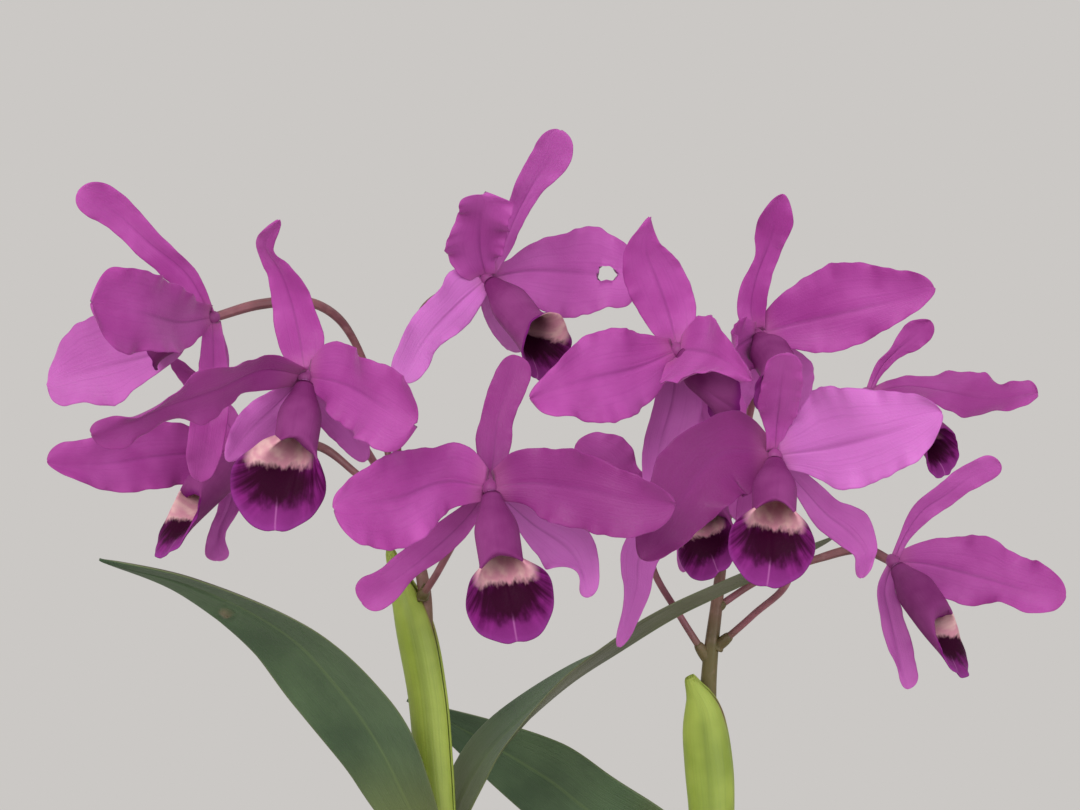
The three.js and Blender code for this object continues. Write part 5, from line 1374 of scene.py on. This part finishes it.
# %% Make the root finish
def root_finish():
    finish = Finish("root", Roughness=0.75)
    place = finish.place()
    clouds = finish.noise(place, 110, 4)
    wood = finish.mix(finish.step(clouds, 0.3, 0.7), srgb(110, 92, 62), srgb(150, 134, 96))
    white = finish.mix(finish.step(clouds, 0.3, 0.7), srgb(176, 172, 158), srgb(214, 212, 202))
    colour = finish.mix(finish.step(finish.mark("tone"), 0, 1), wood, white)
    finish.paint(colour)
    finish.gloss(finish.step(clouds, 0.3, 0.7, 0.65, 0.85))
    finish.relief((finish.noise(place, 500, 4), 0.3), (finish.noise(place, 1800, 2), 0.1))
    return finish.material


ROOT = root_finish()
print("made the root finish")

# %% The rhizome and its roots
RHIZOME = dict(
  course=[[-60, -3, 103], [-44, -1, 105], [-30, 10, 105], [-14, 19, 105], [8, 16, 105], [20, -3, 105],
    [40, -4, 105], [49, 3, 105], [60, 8, 103]],
  radii=[2.5, 4, 4.2, 4.2, 4.2, 4, 2.5],
)
ROOTS = [
  [[-42, 0, 106], [-50, -14, 108], [-50, -34, 107], [-38, -48, 104]],
  [[-16, 19, 106], [-24, 34, 108], [-27, 44, 107], [-28, 51, 103]],
  [[22, -3, 106], [26, -22, 108], [36, -38, 108], [40, -48, 103]],
  [[8, 16, 106], [20, 34, 108], [30, 42, 108], [36, 46, 103]],
  [[-3, 18, 106], [-1, -2, 109], [-16, -24, 108], [-24, -50, 104]],
]
ROOT_RADII = [1.6, 1.5, 1.4, 1.1]
ROOT_TONE = 0.9
STUB_REACH = 9.4


def make_rhizome():
    """A ringed tube, a stub from its nearest point to each bulb, and a knobbly tube for each root."""
    shape = Shape()
    course = Course(RHIZOME["course"])
    rings = lambda u, angle: (1 + 0.07 * np.sin(2 * np.pi * 17 * u) ** 3 + 0.04 * np.cos(5 * angle + 6 * u)
                              + 0.03 * np.sin(3 * angle - 11 * u))
    stem, _ = tube(course, RHIZOME["radii"], 260, 36, relief=rings, blunt=1.0)
    shape.add(stem, tone=0.0)
    for name, bulb in BULBS.items():
        axis = np.array([bulb["foot"][0], bulb["foot"][1], RHIZOME["course"][1][2]], float)
        samples = course.at(np.linspace(0, 1, 81))
        start = samples[np.argmin(np.linalg.norm(samples - axis, axis=1))]
        end = axis + unit(start - axis) * (bulb["girth"] * STUB_REACH)
        stub, _ = tube([start, end], [3.7, 3.4, 3.9], 30, 28, relief=rings, blunt=0.5)
        shape.add(stub, tone=0.0)
    for order, points in enumerate(ROOTS):
        knobbly = lambda u, angle: 1 + 0.06 * np.sin(23 * u + order) + 0.05 * np.cos(2 * angle + 9 * u)
        root, _ = tube(points, ROOT_RADII, 90, 20, relief=knobbly, blunt=1.2)
        shape.add(root, tone=ROOT_TONE)
    return shape.piece("creeping_stem", ROOT, "rhizome")


make_rhizome()

# %% [markdown]
# ## Bark
# Orchids grow in coarse fir bark. The bed below is a rough disc with a rim hidden by the pot, and the
# chips on it are chunks with flattened sides: a ball pushed towards a box, with a wobble, laid out on a
# sunflower's spiral so that they cover the top evenly.

# %% Make the bark finish
def bark_finish():
    finish = Finish("bark", Roughness=0.9)
    place = finish.place()
    clouds = finish.noise(place, 90, 5)
    grain = finish.noise(finish.scaled(place, 300, 900, 900), 1.0, 4)
    colour = finish.mix(finish.step(clouds, 0.3, 0.7), srgb(70, 46, 32), srgb(128, 88, 60))
    colour = finish.mix(finish.step(grain, 0.45, 0.7, 0, 0.6), colour, srgb(152, 116, 84))
    tone = finish.mark("tone")
    colour = finish.mix(finish.step(tone, 0.0, 1.0, 0, 0.55), colour, srgb(168, 128, 92))
    colour = finish.mix(finish.step(tone, 0.0, -1.0, 0, 0.6), colour, srgb(48, 32, 24))
    finish.paint(colour)
    finish.gloss(finish.step(clouds, 0.3, 0.7, 0.8, 0.95))
    finish.relief((grain, 0.5), (finish.noise(place, 900, 4), 0.2))
    return finish.material


BARK_FINISH = bark_finish()
print("made the bark finish")

# %% The bark
POT = dict(height=120, base=52, neck=68, rim=75, rim_height=20, wall=5, floor=6)
BARK = dict(level=103, chips=300, ring=59, smallest=8, largest=19)


def inner_radius(z):
    """The pot's inner radius at a height, less a millimetre: its wall slopes outwards up to the neck."""
    slope = (POT["neck"] - POT["base"]) / (POT["height"] - POT["rim_height"] - 2)
    low = POT["base"] - POT["wall"] + slope * (z - POT["floor"])
    return np.minimum(low, POT["neck"] - POT["wall"]) - 1


def lathe(profile, sides, relief=None):
    """A profile of (radius, height) turned about the pot's axis, closed by a pole at each end."""
    radius, height = np.asarray(profile, float).T
    angle = np.linspace(0, 2 * np.pi, sides, endpoint=False)
    around = np.ones((len(radius), sides)) if relief is None else relief(height[:, None], angle[None, :])
    ring = np.stack([radius[:, None] * around * np.cos(angle), radius[:, None] * around * np.sin(angle),
                     np.broadcast_to(height[:, None], around.shape)], -1)
    index = np.arange(ring[..., 0].size).reshape(around.shape)
    first, last = index.size, index.size + 1
    after = np.roll(index, -1, 1)
    caps = np.concatenate([np.stack([np.full(sides, first), after[0], index[0]], -1),
                           np.stack([np.full(sides, last), index[-1], after[-1]], -1)])
    poles = [[0, 0, height[0]], [0, 0, height[-1]]]
    return np.concatenate([ring.reshape(-1, 3), poles]), cells(index, ring=True)[:, ::-1], caps


def turned_by(a, b, c):
    """The rotation by a about X, then by b about Y, then by c about Z."""
    ca, sa, cb, sb, cc, sc = np.cos(a), np.sin(a), np.cos(b), np.sin(b), np.cos(c), np.sin(c)
    about_x = np.array([[1, 0, 0], [0, ca, -sa], [0, sa, ca]])
    about_y = np.array([[cb, 0, sb], [0, 1, 0], [-sb, 0, cb]])
    about_z = np.array([[cc, -sc, 0], [sc, cc, 0], [0, 0, 1]])
    return about_z @ about_y @ about_x


def chip(centre, size, turn, lot):
    """One chunk of bark: a sphere's grid whose cosines are raised to a small power, which squares it."""
    rows, sides = 7, 9
    up = np.linspace(-np.pi / 2, np.pi / 2, rows + 2)[1:-1, None]
    angle = np.linspace(0, 2 * np.pi, sides, endpoint=False)[None, :] + lot.uniform(0, 1)
    square = lambda x: np.sign(x) * np.abs(x)**0.45
    body = np.stack([square(np.cos(up)) * square(np.cos(angle)), square(np.cos(up)) * square(np.sin(angle)),
                     square(np.sin(up)) * np.ones_like(angle)], -1)
    body = body * (1 + lot.uniform(-0.16, 0.16, body.shape))
    poles = np.array([[0, 0, -1.0], [0, 0, 1.0]])
    points = np.concatenate([body.reshape(-1, 3), poles]) * size / 2
    index = np.arange(rows * sides).reshape(rows, sides)
    after = np.roll(index, -1, 1)
    caps = np.concatenate([np.stack([np.full(sides, rows * sides), after[0], index[0]], -1),
                           np.stack([np.full(sides, rows * sides + 1), index[-1], after[-1]], -1)])
    return (points @ turned_by(*turn).T + centre, cells(index, ring=True)[:, ::-1], caps)


def make_bark():
    """A turned bed with a rough side, and chips at the golden angle whose radius grows as a root."""
    shape = Shape()
    bottom = POT["floor"] + 0.3
    level = BARK["level"] - 3
    heights = np.linspace(bottom, level, 20)
    wall = np.stack([inner_radius(heights), heights], -1)
    steps = np.linspace(1, 0.02, 40)
    top = np.stack([inner_radius(level) * steps, np.full(40, level)], -1)
    floor = np.stack([inner_radius(bottom) * steps[::-1], np.full(40, bottom)], -1)
    rough = lambda z, angle: 1 - 0.012 * (1 + np.sin(17 * angle + z)) * (1 + np.cos(9 * angle - 0.7 * z)) / 2
    shape.add(lathe(np.concatenate([floor[:-1], wall, top[1:]]), 96, rough), tone=-0.6)
    lot = chance(2026)
    for i in range(BARK["chips"]):
        angle = i * np.pi * (3 - np.sqrt(5))
        length = lot.uniform(BARK["smallest"], BARK["largest"])
        size = length * np.array([1, lot.uniform(0.55, 0.85), lot.uniform(0.35, 0.6)])
        radius = (BARK["ring"] - size[0] / 2) * np.sqrt((i + 0.5) / BARK["chips"])
        height = BARK["level"] + lot.uniform(-3.5, 2.5)
        centre = np.array([radius * np.cos(angle), radius * np.sin(angle), height])
        turn = lot.uniform(-0.45, 0.45), lot.uniform(-0.45, 0.45), lot.uniform(0, 6.28)
        shape.add(chip(centre, size, turn, lot), tone=lot.uniform(-0.8, 0.8))
    made = shape.piece("bark_chips", BARK_FINISH, "potting_bark")
    made.data.polygons.foreach_set("use_smooth", np.zeros(len(made.data.polygons), bool))


make_bark()

# %% [markdown]
# ## The clay pot
# The pot is thrown on a wheel: a profile turned about its axis, with a heavy rim, faint throwing lines
# and soft corners. Its four drain holes are cut with a boolean, because a lathe can't leave them out.
# Water leaves pale salts and dark damp on clay, so the finish mixes both by height and noise.

# %% Make the clay finish
def clay_finish():
    finish = Finish("clay", Roughness=0.85)
    place = finish.place()
    split = finish.node("SeparateXYZ", {0: place})
    height = split.outputs["Z"]
    clouds = finish.noise(place, 28, 5)
    specks = finish.noise(place, 700, 3)
    colour = finish.mix(finish.step(clouds, 0.3, 0.7), srgb(166, 92, 64), srgb(190, 116, 84))
    colour = finish.mix(finish.step(specks, 0.55, 0.75, 0, 0.5), colour, srgb(132, 70, 50))
    salt_height = finish.maths("ADD", height, finish.maths("MULTIPLY", clouds, 0.06))
    salt = finish.maths("MULTIPLY", finish.step(salt_height, 0.09, 0.13), finish.step(clouds, 0.42, 0.6))
    colour = finish.mix(finish.maths("MULTIPLY", salt, 0.45), colour, srgb(214, 190, 170))
    damp = finish.step(finish.maths("ADD", height, finish.maths("MULTIPLY", clouds, 0.03)), 0.04, 0.01)
    colour = finish.mix(finish.maths("MULTIPLY", damp, 0.4), colour, srgb(112, 66, 48))
    finish.paint(colour)
    finish.gloss(finish.step(specks, 0.3, 0.7, 0.78, 0.92))
    finish.relief((finish.noise(finish.scaled(place, 6, 6, 420), 1.0, 2), 0.12), (specks, 0.1))
    return finish.material


CLAY = clay_finish()
print("made the clay finish")

# %% The pot
DRAIN = dict(radius=5, ring=26, count=4)
POT_SIDES = 144
CREASE = 40


def rounded(corners, radius, steps=5):
    """A profile whose corners are replaced by short quadratic curves, radius long on either side."""
    corners = np.asarray(corners, float)
    path = [corners[:1]]
    t = np.linspace(0, 1, steps)[:, None]
    for before, corner, after in zip(corners[:-2], corners[1:-1], corners[2:]):
        start = corner + unit(before - corner) * min(radius, np.linalg.norm(before - corner) / 2)
        end = corner + unit(after - corner) * min(radius, np.linalg.norm(after - corner) / 2)
        path.append(start * (1 - t)**2 + corner * 2 * t * (1 - t) + end * t**2)
    return np.concatenate(path + [corners[-1:]])


def finer(profile, longest):
    """The same profile with extra points, so that no step of it is longer than this."""
    pieces = [profile[:1]]
    for a, b in zip(profile[:-1], profile[1:]):
        count = max(1, int(np.ceil(np.linalg.norm(b - a) / longest)))
        pieces.append(a + (b - a) * (np.arange(1, count + 1) / count)[:, None])
    return np.concatenate(pieces)


def make_pot():
    """A turned profile that goes up the outside and down the inside, less four drills from below."""
    height, base, neck, rim = POT["height"], POT["base"], POT["neck"], POT["rim"]
    wall, floor, foot = POT["wall"], POT["floor"], height - POT["rim_height"]
    corners = [[0.5, 0], [base, 0], [neck, foot], [rim - 1, foot], [rim, height], [neck - wall + 3, height],
               [neck - wall, foot - 2], [base - wall, floor], [0.5, floor]]
    profile = finer(rounded(corners, 2.2), 3.0)
    turned = lambda z, angle: 1 + 0.0012 * np.sin(1.9 * z) + 0.001 * np.sin(2 * angle + 0.02 * z)
    shape = Shape()
    shape.add(lathe(profile, POT_SIDES, turned))
    pot = shape.piece("clay_pot", CLAY, "pot")
    cutter = bpy.data.meshes.new("cutter")
    drills = Shape()
    for i in range(DRAIN["count"]):
        angle = (i + 0.5) / DRAIN["count"] * 2 * np.pi
        x, y = DRAIN["ring"] * np.cos(angle), DRAIN["ring"] * np.sin(angle)
        radii = [DRAIN["radius"]] * 2
        drill, _ = tube([[x, y, -floor], [x, y, 2 * floor]], radii, 12, 40, blunt=0.001)
        drills.add(drill)
    points = np.concatenate(drills.points) * MM
    faces = np.concatenate(drills.quads).tolist() + np.concatenate(drills.triangles).tolist()
    cutter.from_pydata(points.tolist(), [], faces)
    tool = bpy.data.objects.new("cutter", cutter)
    bpy.context.scene.collection.objects.link(tool)
    cut = pot.modifiers.new("drain holes", "BOOLEAN")
    cut.operation, cut.solver, cut.object = "DIFFERENCE", "EXACT", tool
    shaped = bpy.data.meshes.new_from_object(pot.evaluated_get(bpy.context.evaluated_depsgraph_get()))
    pot.modifiers.remove(cut)
    pot.data = shaped
    bpy.data.objects.remove(tool)
    bpy.data.meshes.remove(cutter)
    shaped.polygons.foreach_set("use_smooth", np.ones(len(shaped.polygons), bool))
    shaped.set_sharp_from_angle(angle=np.radians(CREASE))


make_pot()
print("triangles in all:", sum(totals))

# %% [markdown]
# ## Floor, light and air
# The plant stands on a plain pale floor. A pale grey world lights it softly from all sides and is the plain
# backdrop too, a broad lamp from the upper left gives the petals their shape, and a weaker one fills in.

# %% Set up the stage
FLOOR = dict(radius=1.0, thickness=0.01, sides=96)
AIM = 0, 0, 0.38


def make_floor():
    """A flat, round plate whose top is at height 0."""
    count = FLOOR["sides"]
    angle = np.linspace(0, 2 * np.pi, count, endpoint=False)
    circle = np.stack([FLOOR["radius"] * np.cos(angle), FLOOR["radius"] * np.sin(angle)], -1)
    points = [(x, y, 0.0) for x, y in circle] + [(x, y, -FLOOR["thickness"]) for x, y in circle]
    sides = [(i, i + count, (i + 1) % count + count, (i + 1) % count) for i in range(count)]
    mesh = bpy.data.meshes.new("floor")
    top, underside = tuple(range(count)), tuple(range(2 * count - 1, count - 1, -1))
    mesh.from_pydata(points, [], [top, underside] + sides)
    finish = Finish("floor", Roughness=0.7)
    clouds = finish.noise(finish.place(), 6, 3)
    finish.paint(finish.mix(clouds, srgb(206, 203, 199), srgb(212, 210, 206)))
    mesh.materials.append(finish.material)
    floor = bpy.data.objects.new("floor", mesh)
    bpy.context.scene.collection.objects.link(floor)


def add_lamp(name, place, size, power, colour):
    """An area lamp that looks at the blooms."""
    lamp = bpy.data.objects.new(name, bpy.data.lights.new(name, "AREA"))
    lamp.data.size = size
    lamp.data.energy = power
    lamp.data.color = colour
    lamp.location = place
    target = np.array(AIM) - np.array(place)
    yaw, tilt = np.arctan2(target[1], target[0]), np.arccos(-target[2] / np.linalg.norm(target))
    lamp.rotation_euler = (tilt, 0, yaw - np.pi / 2)
    bpy.context.scene.collection.objects.link(lamp)


make_floor()
add_lamp("key", (-1.0, -1.7, 1.5), 1.7, 34, (1.0, 0.985, 0.97))
add_lamp("fill", (1.2, -1.6, 0.5), 1.7, 13, (0.97, 0.98, 1.0))
world = bpy.data.worlds.new("air")
world.use_nodes = True
air = world.node_tree.nodes["Background"]
air.inputs["Color"].default_value = srgb(203, 200, 197)
air.inputs["Strength"].default_value = 1.0
bpy.context.scene.world = world
bpy.context.scene.view_settings.view_transform = "Standard"
print("lamps and floor are set")
